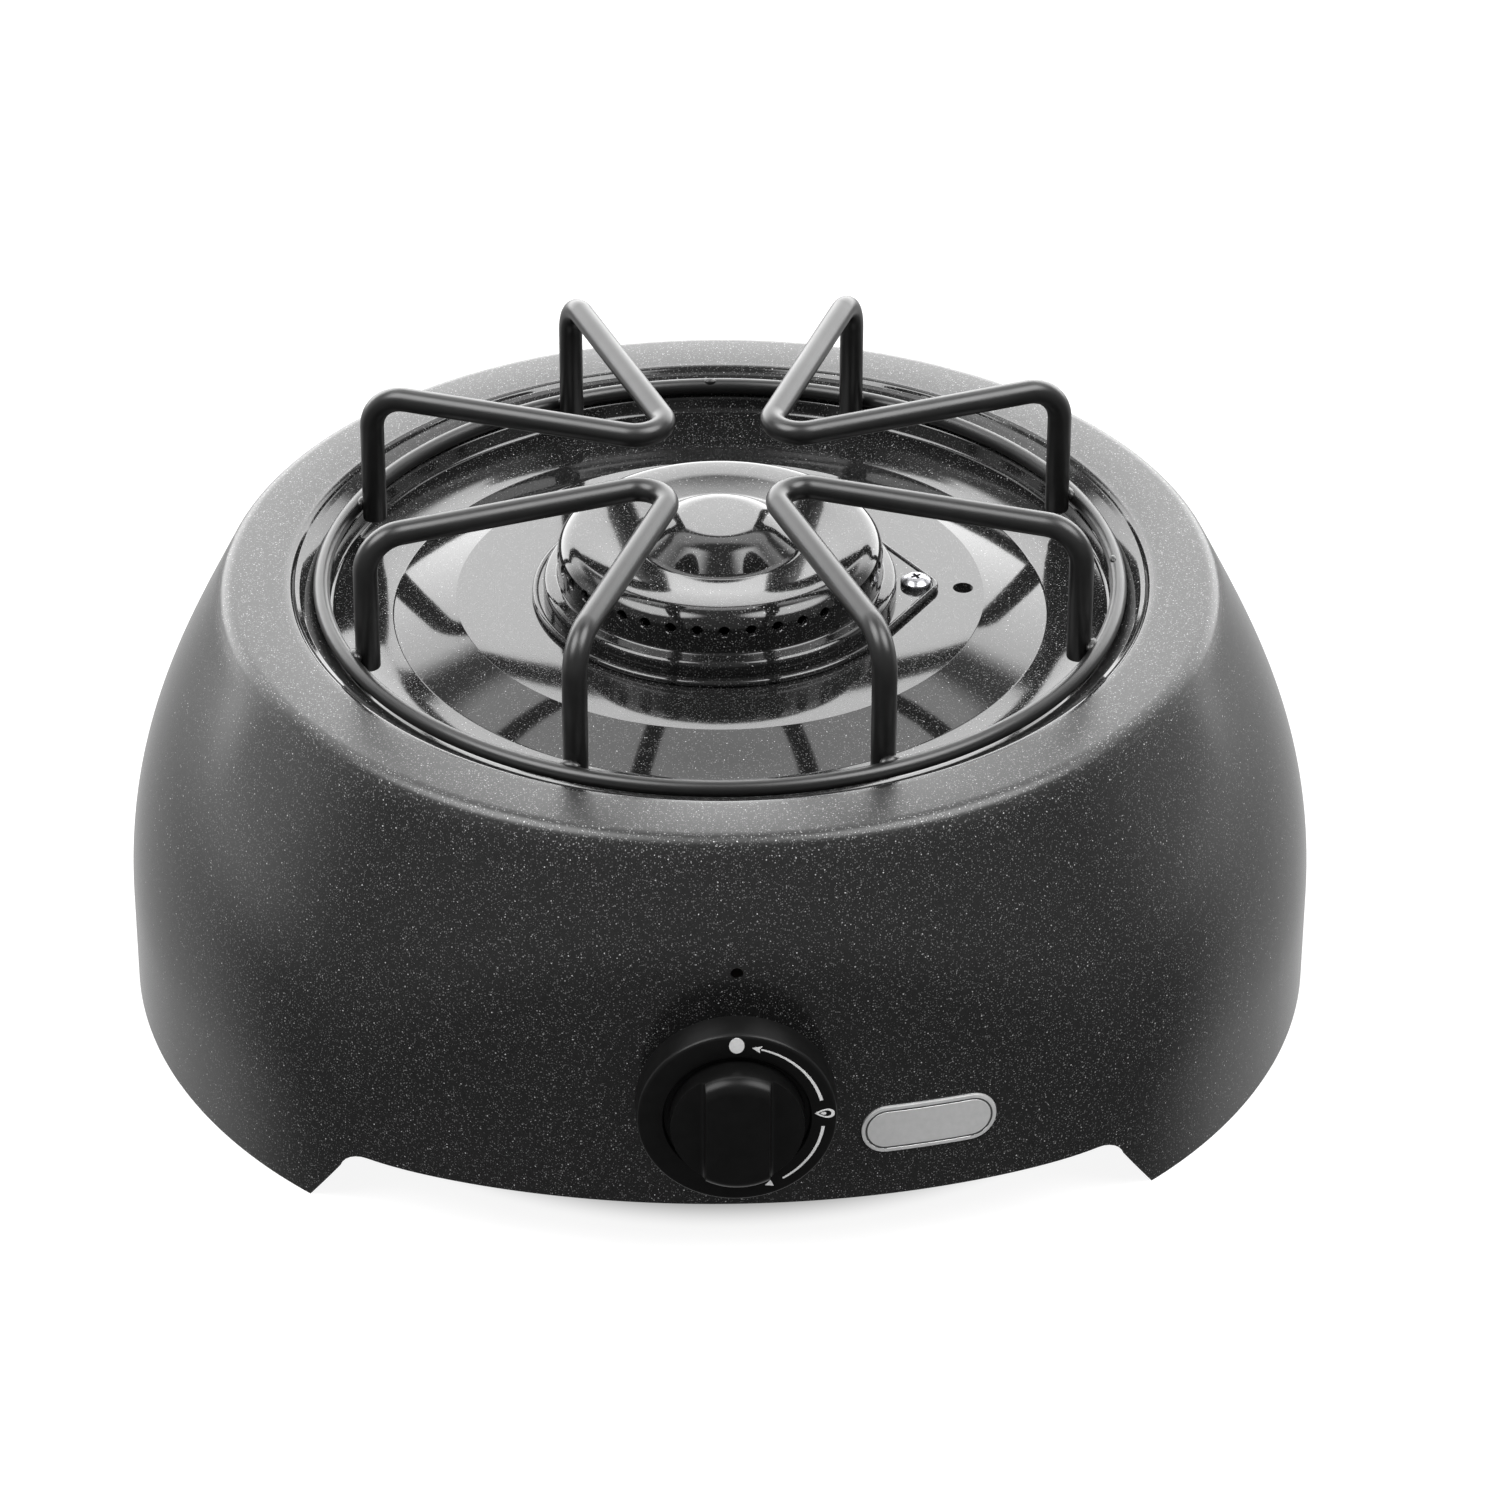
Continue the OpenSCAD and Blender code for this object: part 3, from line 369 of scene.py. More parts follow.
# %% [markdown]
# ## The bench tools
# Most pieces here are turned, bent or pressed. A turned piece is a line drawn by pulling one
# point from corner to corner, then spun about its axis. The corners of the line are rounded
# first, as a press or a lathe leaves them. A hole is a cutter taken away by a Boolean.
# Every piece ends at the origin with its place in its mesh, smoothed, on its body.

# %% Lay out the tools
def let_go():
    if bpy.context.object and bpy.context.object.mode != "OBJECT":
        bpy.ops.object.mode_set(mode="OBJECT")
    bpy.ops.object.select_all(action="DESELECT")


def take(obj):
    let_go()
    obj.select_set(True)
    bpy.context.view_layer.objects.active = obj


def edit_all(obj):
    """Opens a mesh in edit mode, all selected."""
    take(obj)
    bpy.ops.object.mode_set(mode="EDIT")
    bpy.ops.mesh.select_mode(type="VERT")
    bpy.ops.mesh.select_all(action="SELECT")


def rounded(corners, steps=6):
    """Points along a line of (across, along, rounding) corners, with arcs at the roundings."""
    points = []
    for i, (u, v, size) in enumerate(corners):
        here = Vector((u, v))
        if size == 0 or i in (0, len(corners) - 1):
            points.append(here)
            continue
        back = (Vector(corners[i - 1][:2]) - here).normalized()
        ahead = (Vector(corners[i + 1][:2]) - here).normalized()
        half = back.angle(ahead) / 2
        centre = here + (back + ahead).normalized() * size / math.sin(half)
        first = here + back * size / math.tan(half) - centre
        sweep = first.angle_signed(here + ahead * size / math.tan(half) - centre)
        for k in range(steps + 1):
            points.append(centre + Matrix.Rotation(-sweep * k / steps, 2) @ first)
    return points


def pull(by):
    """Extrudes what is selected, and moves it."""
    bpy.ops.mesh.extrude_region_move(TRANSFORM_OT_translate={"value": by})


def draw(name, points):
    """One point pulled from place to place. It is left in edit mode, all selected."""
    let_go()
    bpy.ops.mesh.primitive_plane_add(size=MM)
    obj = bpy.context.object
    obj.name = name
    edit_all(obj)
    bpy.ops.mesh.merge(type="CENTER")
    bpy.ops.transform.translate(value=points[0])
    for a, b in zip(points, points[1:]):
        pull(Vector(b) - Vector(a))
    bpy.ops.mesh.select_all(action="SELECT")
    return obj


def upright(points):
    """A line of (across, up) points, stood in the plane of the axis."""
    return [(u * MM, 0, v * MM) for u, v in points]


def close_up():
    """Joins the doubles of a mesh in edit mode and turns its faces outwards."""
    bpy.ops.mesh.select_all(action="SELECT")
    bpy.ops.mesh.remove_doubles(threshold=0.002 * MM)
    bpy.ops.mesh.normals_make_consistent(inside=False)


def turned(name, points, steps, centre=(0, 0, 0), axis=(0, 0, 1)):
    obj = draw(name, points)
    bpy.ops.mesh.spin(steps=steps, angle=2 * math.pi, center=centre, axis=axis)
    close_up()
    bpy.ops.object.mode_set(mode="OBJECT")
    return obj


def modify(obj, kind, **settings):
    """Adds one modifier and applies it."""
    take(obj)
    bpy.ops.object.modifier_add(type=kind)
    modifier = obj.modifiers[-1]
    for name, value in settings.items():
        setattr(modifier, name, value)
    bpy.ops.object.modifier_apply(modifier=modifier.name)


def cut(obj, cutter):
    modify(obj, "BOOLEAN", operation="DIFFERENCE", solver="EXACT", object=cutter)
    bpy.data.objects.remove(cutter)


def copy_of(obj, matrix):
    twin = obj.copy()
    twin.data = obj.data.copy()
    twin.data.transform(matrix)
    bpy.context.collection.objects.link(twin)
    return twin


def join(parts):
    let_go()
    for obj in parts:
        obj.select_set(True)
    bpy.context.view_layer.objects.active = parts[0]
    bpy.ops.object.join()
    return parts[0]


def settle(obj):
    take(obj)
    bpy.ops.object.transform_apply(location=True, rotation=True, scale=True)
    return obj


def choose(obj, test):
    """Selects the points that pass a test, and leaves the mesh in edit mode."""
    take(obj)
    bpy.ops.object.mode_set(mode="EDIT")
    bpy.ops.mesh.select_mode(type="VERT")
    bpy.ops.mesh.select_all(action="DESELECT")
    bpy.ops.object.mode_set(mode="OBJECT")
    for vertex in obj.data.vertices:
        vertex.select = test(vertex.co / MM)
    bpy.ops.object.mode_set(mode="EDIT")


def hand_over(obj, body, surface, nodes, angle):
    """The finished piece: smoothed, with its finish, on the body it moves with."""
    settle(obj)
    bpy.ops.object.shade_smooth_by_angle(angle=math.radians(angle))
    if not obj.data.materials:
        obj.data.materials.append(surface.material)
    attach(obj, body)
    if nodes:
        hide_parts(*nodes)
    spots = np.array([v.co for v in obj.data.vertices]) / MM
    print(obj.name, len(spots), "points", spots.min(0).round(1), spots.max(0).round(1))


def rod(name, radius, start, end, sides=32):
    """A plain cutter between two points."""
    let_go()
    a, b = Vector(start) * MM, Vector(end) * MM
    bpy.ops.mesh.primitive_cylinder_add(
        vertices=sides, radius=radius * MM, depth=(b - a).length, location=(a + b) / 2,
        rotation=(b - a).to_track_quat("Z", "Y").to_euler())
    bpy.context.object.name = name
    return settle(bpy.context.object)


print("tools ready")

# %% [markdown]
# ## The body
# The body is pressed from one sheet: a plateau for the burner, a slightly dished trough, a sloped
# collar with a fine step at its lip, a flat top ring and a wall that curves down to the table.
# That is a turned shape, so its line is spun. The press also flattens the front and the rear, so
# those points of the wall are drawn back to a gently curved face, with a soft blend instead of a
# sharp crease. The sheet then gets its thickness, and the arches and holes are cut.

# %% Spin the body
SHEET = 1.2
BASE_R, FOOT_Z, TOP_Z = 148, 25, 109
WALL_TOP, WALL_FOOT = Vector((123.47, 105.72)), Vector((BASE_R, FOOT_Z))
WALL_SPAN = (WALL_FOOT - WALL_TOP).length
WALL_LEAN = math.radians(63)
PULL_TOP = WALL_TOP + Vector((math.cos(WALL_LEAN), -math.sin(WALL_LEAN))) * WALL_SPAN / 3
PULL_FOOT = WALL_FOOT + Vector((0, 0.4 * WALL_SPAN))
WALL_STEPS, SHELL_STEPS, RING_GAP = 34, 320, 6


def wall_point(t):
    """A place on the curve of the wall, from 0 at its top to 1 at its foot."""
    return ((1 - t) ** 3 * WALL_TOP + 3 * t * (1 - t) ** 2 * PULL_TOP
            + 3 * t * t * (1 - t) * PULL_FOOT + t ** 3 * WALL_FOOT)


wall = [wall_point(i / WALL_STEPS) for i in range(WALL_STEPS + 1)]
plateau = [(12.8, 103, 0), (65, 103, 0.8)]
trough = [(80.5, 98.8, 2.0), (88, 98.9, 40)]
collar = [(96.2, 100.7, 1.8), (97.4, 104.3, 1.6), (103.4, 107.5, 1.8)]
lip = [(104.6, 107.9, 0.8), (105.6, TOP_Z, 1.8)]
top_ring = [(121.8, TOP_Z, 4), (WALL_TOP[0] + 0.01, WALL_TOP[1] - 0.02, 0)]
deck = rounded(plateau + trough + collar + lip + top_ring)
skin = deck[:-1] + wall[1:] + [Vector((BASE_R, z)) for z in (20, 15, 10, 5, 0)]
# long flat stretches get a few more rings, so that the faces stay near square
line = []
for a, b in zip(skin, skin[1:]):
    pieces = max(1, round((b - a).length / RING_GAP))
    line += [a + (b - a) * k / pieces for k in range(pieces)]
line.append(skin[-1])
shell = turned("enamelled_body", upright(line), SHELL_STEPS)
print("line of", len(line), "points")

# %% Flatten the front and the rear
FACE_REACH, FACE_ROUND, FACE_LEAN = 139.3, 210.0, math.tan(math.radians(4.5))
FACE_WIDEST, FACE_NEAREST = 140, 60
BLEND_FROM, BLEND_OVER = 118.2, 8
SOFT_CREASE = 3.0
ARCH_H = 18.0


def face_reach(x, z):
    """How far the flat face is from the middle, across x and up z."""
    return FACE_REACH - (z - ARCH_H) * FACE_LEAN - FACE_ROUND + np.sqrt(FACE_ROUND ** 2 - x ** 2)


def soft_least(a, b):
    """The smaller of two reaches, with a soft change from one to the other."""
    return (a + b - np.sqrt((a - b) ** 2 + SOFT_CREASE ** 2)) / 2


points = np.array([v.co for v in shell.data.vertices]) / MM
x, y, z = points.T
share = np.clip((np.hypot(x, y) - BLEND_FROM) / BLEND_OVER, 0, 1)
share = share * share * (3 - 2 * share) * (np.abs(y) > FACE_NEAREST)
reach = soft_least(np.abs(y), face_reach(np.clip(x, -FACE_WIDEST, FACE_WIDEST), z))
points[:, 1] = np.sign(y) * (np.abs(y) * (1 - share) + reach * share)
shell.data.vertices.foreach_set("co", (points * MM).ravel())
shell.data.update()
edit_all(shell)
close_up()
let_go()
modify(shell, "SOLIDIFY", thickness=SHEET * MM, offset=-1, use_even_offset=True)
print("points drawn back", int((share > 0).sum()))

# %% Cut the arches and the holes
TAP_Z, SCREW_X, SPARE_X, INDEX_Z = 50.4, 48.3, 60.0, 79.3
INDEX_X, INLET_X, INLET_Z = 0.4, 18, TAP_Z - 13
ARCH_W, ARCH_HEAD, ARCH_FLARE, ARCH_BEND = 204, 184, 224, 5
# how far from the middle a cutter in the wall runs, and how high one in the deck
NEAR, FAR = 110, 160
UNDER, OVER = 95, 110
let_go()
bpy.ops.mesh.primitive_cube_add(size=1, scale=(ARCH_W * MM, 400 * MM, 2 * ARCH_H * MM))
arch = settle(bpy.context.object)
choose(arch, lambda p: p.z > 1)
bpy.ops.transform.resize(value=(ARCH_HEAD / ARCH_W, 1, 1))
bpy.ops.mesh.bevel(offset=ARCH_BEND * MM, segments=6, affect="EDGES")
choose(arch, lambda p: p.z < -1)
bpy.ops.transform.resize(value=(ARCH_FLARE / ARCH_W, 1, 1))
let_go()
holes = [arch,
         rod("index", 1.5, (INDEX_X, -FAR, INDEX_Z), (INDEX_X, -NEAR, INDEX_Z)),
         rod("spindle", 6, (0, -FAR, TAP_Z), (0, -NEAR, TAP_Z)),
         rod("inlet", 8, (INLET_X, NEAR, INLET_Z), (INLET_X, FAR, INLET_Z)),
         rod("screw", 2.2, (SCREW_X, 0, UNDER), (SCREW_X, 0, OVER)),
         rod("spare", 2.5, (SPARE_X, 0, UNDER), (SPARE_X, 0, OVER))]
cut(shell, join(holes))
hand_over(shell, "stove", enamel, ["body_shell"], 40)

# %% [markdown]
# ## The burner cap
# The cap is a deep pressing with a domed middle, a valley, a rounded crown and a skirt that is
# crimped over the bowl. Its line is spun and thickened. The flame ports are pierced from
# outside, which leaves a small funnel at each mouth, so the cutter is a rod with a flare.

# %% Spin the cap and pierce its ports
CAP_R, CRIMP_R = 40.0, 43.5
CROWN_Z, DOME_Z, FLANGE_Z = 119.4, 124.1, 104.2
PORTS, PORT_R, PORT_Z, PORT_FROM = 38, 1.3, 115.0, 34
PORT_FLARE = ((5.5, 1.0), (0.4, 1.18), (0.4, 1.15), (1.5, 1.3))
dome = [(0, DOME_Z, 0), (12.0, DOME_Z, 11)]
valley = [(20.5, CROWN_Z - 0.8, 3), (31, CROWN_Z, 60)]
crown = [(CAP_R, CROWN_Z, 4.7), (CAP_R, FLANGE_Z + 4.5, 0.8)]
crimp = [(CRIMP_R, FLANGE_Z + 3.9, 1.5), (CRIMP_R, FLANGE_Z + 0.1, 0)]
cap_line = rounded(dome + valley + crown + crimp, 8)
cap = turned("pierced_burner_cap", upright(cap_line), 6 * PORTS)
modify(cap, "SOLIDIFY", thickness=SHEET * MM, offset=-1)

let_go()
bpy.ops.mesh.primitive_circle_add(
    vertices=20, radius=PORT_R * MM, fill_type="NGON",
    location=(PORT_FROM * MM, 0, PORT_Z * MM), rotation=(0, math.pi / 2, 0))
port = settle(bpy.context.object)
edit_all(port)
for out, wider in PORT_FLARE:
    pull((out * MM, 0, 0))
    bpy.ops.transform.resize(value=(1, wider, wider))
bpy.ops.mesh.select_all(action="SELECT")
bpy.ops.mesh.normals_make_consistent(inside=False)
let_go()
turns = [2 * math.pi * (i + 0.5) / PORTS for i in range(PORTS)]
ports = [copy_of(port, Matrix.Rotation(turn, 4, "Z")) for turn in turns]
bpy.data.objects.remove(port)
cut(cap, join(ports))
hand_over(cap, "stove", enamel, ["burner_cap"], 38)

# %% [markdown]
# ## The burner bowl
# Under the cap lies a bowl whose flange ends in a rolled bead. The flange runs out to an ear for
# the screw, so its outline is a drop: the hull of a large and a small circle. The bead
# follows that outline, which is easiest as a curve with a round bevel.

# %% Shape the flange and roll its edge
FLANGE_R, EAR_R, BEAD_R = 45.5, 4.75, 0.85
FLANGE_FOOT = FLANGE_Z - SHEET
NECK_IN, NECK_OUT, NECK_FOOT, NECK_TOP = 11.1, 12.3, 89, FLANGE_FOOT + 0.4
BELOW, ABOVE = 100, 107


def bow(centre, radius, start, end, count):
    """Points on part of a circle round a place on the x axis."""
    return [Vector((centre + radius * math.cos(a), radius * math.sin(a), 0))
            for a in np.linspace(start, end, count)]


def raised(points, height):
    return [(p.x * MM, p.y * MM, height * MM) for p in points]


swing = math.acos((FLANGE_R - EAR_R) / SCREW_X)
outline = bow(0, FLANGE_R, swing, 2 * math.pi - swing, 150) + bow(SCREW_X, EAR_R, -swing, swing, 24)
bead = draw("bead", raised(outline, FLANGE_FOOT + BEAD_R))
bpy.ops.mesh.edge_face_add()
bpy.ops.mesh.delete(type="ONLY_FACE")
take(bead)
bpy.ops.object.convert(target="CURVE")
bead.data.splines[0].use_cyclic_u = True
bead.data.bevel_depth = BEAD_R * MM
bead.data.bevel_resolution = 4
bpy.ops.object.convert(target="MESH")
bowl = draw("flanged_burner_bowl", raised(outline, FLANGE_FOOT))
bpy.ops.mesh.edge_face_add()
pull((0, 0, SHEET * MM))
close_up()
let_go()
neck_line = [(NECK_IN, NECK_FOOT), (NECK_OUT, NECK_FOOT), (NECK_OUT, NECK_TOP),
             (NECK_IN, NECK_TOP), (NECK_IN, NECK_FOOT)]
neck = turned("neck", upright(neck_line), 64)
cut(bowl, join([rod("way", NECK_IN, (0, 0, BELOW), (0, 0, ABOVE), 64),
                rod("hole", 2.1, (SCREW_X, 0, BELOW), (SCREW_X, 0, ABOVE))]))
bowl = join([bowl, bead, neck])
hand_over(bowl, "stove", enamel, ["burner_bowl"], 40)

# %% [markdown]
# ## The burner screw
# The only bright metal on top is the screw in the ear: a pan head with a cross. Its head is spun
# with a round shoulder, and two tapered bars cut the cross.

# %% Turn the screw and cut its cross
HEAD_R, SHANK_R, SHANK_L, SEAT = 3.8, 2, 7, 0.02
CROSS_L, CROSS_W, CROSS_TURN = 4.3, 1.0, 0.5
head = [(0, 2.45, 0), (2.1, 2.4, 2.5), (HEAD_R, 1.25, 0.7), (HEAD_R, SEAT, 0)]
shank = [(SHANK_R, SEAT, 0), (SHANK_R, -SHANK_L, 0), (0, -SHANK_L, 0)]
screw_line = [(SCREW_X + u, FLANGE_Z + v) for u, v in rounded(head + shank, 5)]
screw = turned("bright_pan_screw", upright(screw_line), 48, centre=(SCREW_X * MM, 0, 0))
to_screw = Matrix.Translation((SCREW_X * MM, 0, 0))
for turn in (CROSS_TURN, CROSS_TURN + math.pi / 2):
    let_go()
    bpy.ops.mesh.primitive_cube_add(
        size=1, scale=(CROSS_L * MM, CROSS_W * MM, 3 * MM),
        location=(SCREW_X * MM, 0, (FLANGE_Z + 2.6) * MM))
    bar = settle(bpy.context.object)
    choose(bar, lambda p: p.z < FLANGE_Z + 2)
    bpy.ops.transform.resize(value=(0.35, 0.7, 1))
    let_go()
    bar.data.transform(to_screw @ Matrix.Rotation(turn, 4, "Z") @ to_screw.inverted())
    cut(screw, bar)
hand_over(screw, "stove", bright, ["burner_screw"], 40)

# %% [markdown]
# ## The pan support
# A ring of thin wire lies in the collar, and four prongs of thicker wire are welded inside it. A
# wire is a circle carried along its path: pulled along the straights and spun round the bends. A
# prong is the same on both sides, so half of it is bent and then mirrored.

# %% Bend the ring
RING_R, RING_Z, RING_WIRE = 98.0, 107.3, 4.0
let_go()
bpy.ops.mesh.primitive_circle_add(
    vertices=24, radius=RING_WIRE / 2 * MM, location=(RING_R * MM, 0, RING_Z * MM),
    rotation=(math.pi / 2, 0, 0))
ring = settle(bpy.context.object)
ring.name = "support_wire_ring"
edit_all(ring)
bpy.ops.mesh.spin(steps=256, angle=2 * math.pi, center=(0, 0, 0), axis=(0, 0, 1))
close_up()
let_go()
hand_over(ring, "pan_support", wire_coat, ["support_ring"], 60)

# %% Bend one prong and copy it
POST_R, POST_HALF, PRONG_R, PRONG_Z = 93.0, math.radians(22.2), 3.0, 139.7
CROSS_R, POST_BEND, TIP_BEND, POST_FOOT = 12.7, 9.0, 7.0, RING_Z - 2.8
FOOT_EDGE = 0.4
PRONG_TURNS = {"back_right": 45, "back_left": 135, "front_left": 225, "front_right": 315}
post = Vector((POST_R * math.cos(POST_HALF), POST_R * math.sin(POST_HALF), 0))
inward = (Vector((CROSS_R, 0, 0)) - post).normalized()
spread = math.atan2(-inward.y, -inward.x)
leg_end = Vector((CROSS_R, 0, 0)) - inward * TIP_BEND / math.tan(spread)
let_go()
bpy.ops.mesh.primitive_circle_add(
    vertices=24, radius=PRONG_R * MM, location=(post.x * MM, post.y * MM, POST_FOOT * MM))
half_prong = settle(bpy.context.object)
edit_all(half_prong)
pull((0, 0, (PRONG_Z - POST_BEND - POST_FOOT) * MM))
elbow = post + inward * POST_BEND + Vector((0, 0, PRONG_Z - POST_BEND))
bpy.ops.mesh.spin(steps=12, angle=-math.pi / 2, center=elbow * MM, axis=(-inward.y, inward.x, 0))
run = (leg_end - post).length - POST_BEND
pull(inward * run * MM)
tip = leg_end + Vector((-inward.y, inward.x, 0)) * TIP_BEND + Vector((0, 0, PRONG_Z))
bpy.ops.mesh.spin(steps=10, angle=spread - math.pi / 2, center=tip * MM, axis=(0, 0, 1))
close_up()
choose(half_prong, lambda p: p.z < POST_FOOT + 0.01)
bpy.ops.mesh.edge_face_add()
bpy.ops.mesh.bevel(offset=FOOT_EDGE * MM, segments=2, affect="EDGES")
modify(half_prong, "MIRROR", use_axis=(False, True, False), use_clip=True,
       merge_threshold=0.02 * MM)
edit_all(half_prong)
close_up()
let_go()
print("prong tip at", min(v.co.x for v in half_prong.data.vertices) / MM)
for name, turn in PRONG_TURNS.items():
    prong = copy_of(half_prong, Matrix.Rotation(math.radians(turn), 4, "Z"))
    prong.name = "bent_prong_" + name
    hand_over(prong, "pan_support", wire_coat, ["prong_" + name], 60)
bpy.data.objects.remove(half_prong)

# %% [markdown]
# ## Weld beads
# Each post is welded to the ring, and a small lump of metal shows beside it, under the same black
# coat. One lump is made from a ball that is squashed and roughened, then copied to every post.
# The ring itself was butt-welded, which leaves two smaller lumps on it.

# %% Make the weld beads
WELD_R, WELD_SHAPE, WELD_ROUGH = 1.7, (0.85, 1.5, 0.8), 0.12
POST_WELD_R, POST_WELD_RISE = 96.2, 1.1
BUTT_WELD_R, BUTT_WELD_RISE, BUTT_WELD_SIZE = 97.2, 1.6, 0.62
BUTT_WELD_TURNS = (math.pi / 2, 0.03)
let_go()
bpy.ops.mesh.primitive_uv_sphere_add(segments=16, ring_count=10, radius=WELD_R * MM)
lump = settle(bpy.context.object)
edit_all(lump)
bpy.ops.transform.resize(value=WELD_SHAPE)
bpy.ops.transform.vertex_random(offset=WELD_ROUGH * MM, uniform=0.6, seed=4)
let_go()


def lump_at(turn, radius, rise, size=1.0):
    """A copy of the lump, some way round the ring and above the middle of its wire."""
    place = Matrix.Translation((radius * MM, 0, (RING_Z + rise) * MM))
    return copy_of(lump, Matrix.Rotation(turn, 4, "Z") @ place @ Matrix.Scale(size, 4))


post_turns = [math.pi / 4 + quarter * math.pi / 2 + side * POST_HALF
              for quarter in range(4) for side in (-1, 1)]
lumps = [lump_at(turn, POST_WELD_R, POST_WELD_RISE) for turn in post_turns]
for turn in BUTT_WELD_TURNS:
    lumps.append(lump_at(turn, BUTT_WELD_R, BUTT_WELD_RISE, BUTT_WELD_SIZE))
bpy.data.objects.remove(lump)
welds = join(lumps)
welds.name = "weld_beads"
hand_over(welds, "pan_support", wire_coat, (), 60)

# %% [markdown]
# ## The knob
# The knob is moulded in black plastic: a skirt with a well-rounded edge, a shallow groove, a hub,
# and a bar across it to grip. The skirt is spun. The hub starts as a cylinder with a large round
# on its edge, and two cutters take away its sides so that the bar is left.

# %% Spin the skirt and carve the grip
KNOB_BACK, KNOB_R, KNOB_IN, KNOB_HOLLOW = 142.19, 23.4, 21.4, 3
SKIRT_T, GROOVE_T, BAR_T, WING_T = 8, 6.8, 16.0, 12.0
HUB_R, HUB_ROUND, KNOB_STEPS = 15.6, 3.5, 128
BLOCK_W, BLOCK_T, BLOCK_H, BLOCK_X = 20, 12, 50, 16.5
BLOCK_LEAN, BLOCK_ROUND, GRIP_ROUND = 1.2, 1.2, 0.45
AXLE = dict(centre=(0, 0, TAP_Z * MM), axis=(0, 1, 0))


def ahead(r, t, up=0):
    """A place on the knob: r to the right of its axis, t in front of its back, and up."""
    return (r * MM, -(KNOB_BACK + t) * MM, (TAP_Z + up) * MM)


hollow = [(0, KNOB_HOLLOW, 0), (KNOB_IN, KNOB_HOLLOW, 0.5), (KNOB_IN, 0, 0)]
skirt_edge = [(KNOB_R, 0, 0.3), (KNOB_R - 0.3, SKIRT_T, 1.0)]
groove = [(17.1, SKIRT_T, 0.35), (16.9, GROOVE_T, 0.2), (15.0, GROOVE_T, 0), (0, GROOVE_T, 0)]
skirt_line = rounded(hollow + skirt_edge + groove)
skirt = turned("black_control_knob", [ahead(u, v) for u, v in skirt_line], KNOB_STEPS, **AXLE)
grip_line = rounded([(0, GROOVE_T, 0), (HUB_R, GROOVE_T, 0), (HUB_R - 0.3, BAR_T, HUB_ROUND),
                     (0, BAR_T, 0)], 8)
grip = turned("grip", [ahead(u, v) for u, v in grip_line], KNOB_STEPS, **AXLE)
wing_y = -(KNOB_BACK + WING_T)
for side in (-1, 1):
    let_go()
    bpy.ops.mesh.primitive_cube_add(
        size=1, scale=(BLOCK_W * MM, BLOCK_T * MM, BLOCK_H * MM),
        location=(side * BLOCK_X * MM, (wing_y - BLOCK_T / 2) * MM, TAP_Z * MM))
    block = settle(bpy.context.object)
    choose(block, lambda p: abs(p.x) < 10 and p.y > wing_y - 1)
    bpy.ops.transform.translate(value=(side * BLOCK_LEAN * MM, 0, 0))
    choose(block, lambda p: abs(p.x) > 10 and p.y > wing_y - 1)
    bpy.ops.transform.translate(value=(0, BLOCK_LEAN * MM, 0))
    choose(block, lambda p: p.y > wing_y - 1)
    bpy.ops.mesh.bevel(offset=BLOCK_ROUND * MM, segments=4, affect="EDGES")
    let_go()
    cut(grip, block)
modify(grip, "BEVEL", width=GRIP_ROUND * MM, segments=3, limit_method="ANGLE",
       angle_limit=math.radians(40))
knob = join([skirt, grip])
hand_over(knob, "knob_and_spindle", knob_plastic, ["knob"], 35)

# %% [markdown]
# ## The dial marks
# Plain marks are printed on the skirt: a dot for off, an arc with an arrow, a drop for the flame
# and a second arc. Each is drawn as an outline, filled, and given the thickness of ink.

# %% Print the marks
INK_FROM, INK_H = 7.81, 0.3
MARK_R, ARROW_HALF, END_HALF = 20.0, 0.95, 0.9
DOT_W, DOT_H = 1.75, 2.1


def on_dial(r, angle):
    a = math.radians(angle)
    return Vector((r * math.cos(a), r * math.sin(a)))


def filled(name, outline, start, height):
    """A filled outline on the dial, given as (across, up) from the knob's axis."""
    obj = draw(name, [ahead(p[0], start, p[1]) for p in outline])
    bpy.ops.mesh.edge_face_add()
    pull((0, -height * MM, 0))
    close_up()
    let_go()
    return obj


def ink(name, outline):
    return filled(name, outline, INK_FROM, INK_H)


def arc(r, start, end, first, last, steps=28):
    """A stroke along the dial whose width goes from first to last."""
    angles = np.linspace(start, end, steps)
    widths = np.linspace(first, last, steps)
    outer = [on_dial(r + w / 2, a) for a, w in zip(angles, widths)]
    inner = [on_dial(r - w / 2, a) for a, w in zip(angles, widths)]
    return outer + inner[::-1]


dot = [Vector((DOT_W * math.cos(a) - 0.1, DOT_H * math.sin(a) + MARK_R + 0.4))
       for a in np.linspace(0, 2 * math.pi, 30, endpoint=False)]
arrow = [on_dial(MARK_R, 80), on_dial(MARK_R + ARROW_HALF, 74), on_dial(MARK_R, 75.2),
         on_dial(MARK_R - ARROW_HALF, 74)]
end_mark = [on_dial(MARK_R + END_HALF, -66), on_dial(MARK_R - END_HALF, -66), on_dial(MARK_R, -71)]
marks = [ink("dot", dot),
         ink("first_arc", arc(MARK_R, 74, 14, 0.35, 0.75)),
         ink("arrow", arrow),
         ink("second_arc", arc(MARK_R, -7, -58, 0.75, 0.45)),
         ink("end_mark", end_mark)]
print("marks", [m.name for m in marks])

# %% Print the drop
DROP_L, DROP_W = 1.35, 0.95
CORE_SIZE, RIM_OUT, RIM_IN = 0.495, 1.7, 1.15
drop_at = Vector((MARK_R + 0.2, 1.2))
core_at = drop_at + Vector((-0.35, 0))


def drop(size, place, steps=22):
    """A drop with its point to the right."""
    turns = [2 * math.pi * k / steps for k in range(steps)]
    return [Vector((-math.cos(a) * size * DROP_L, math.sin(a) * math.sin(a / 2) * size * DROP_W))
            + place for a in turns]


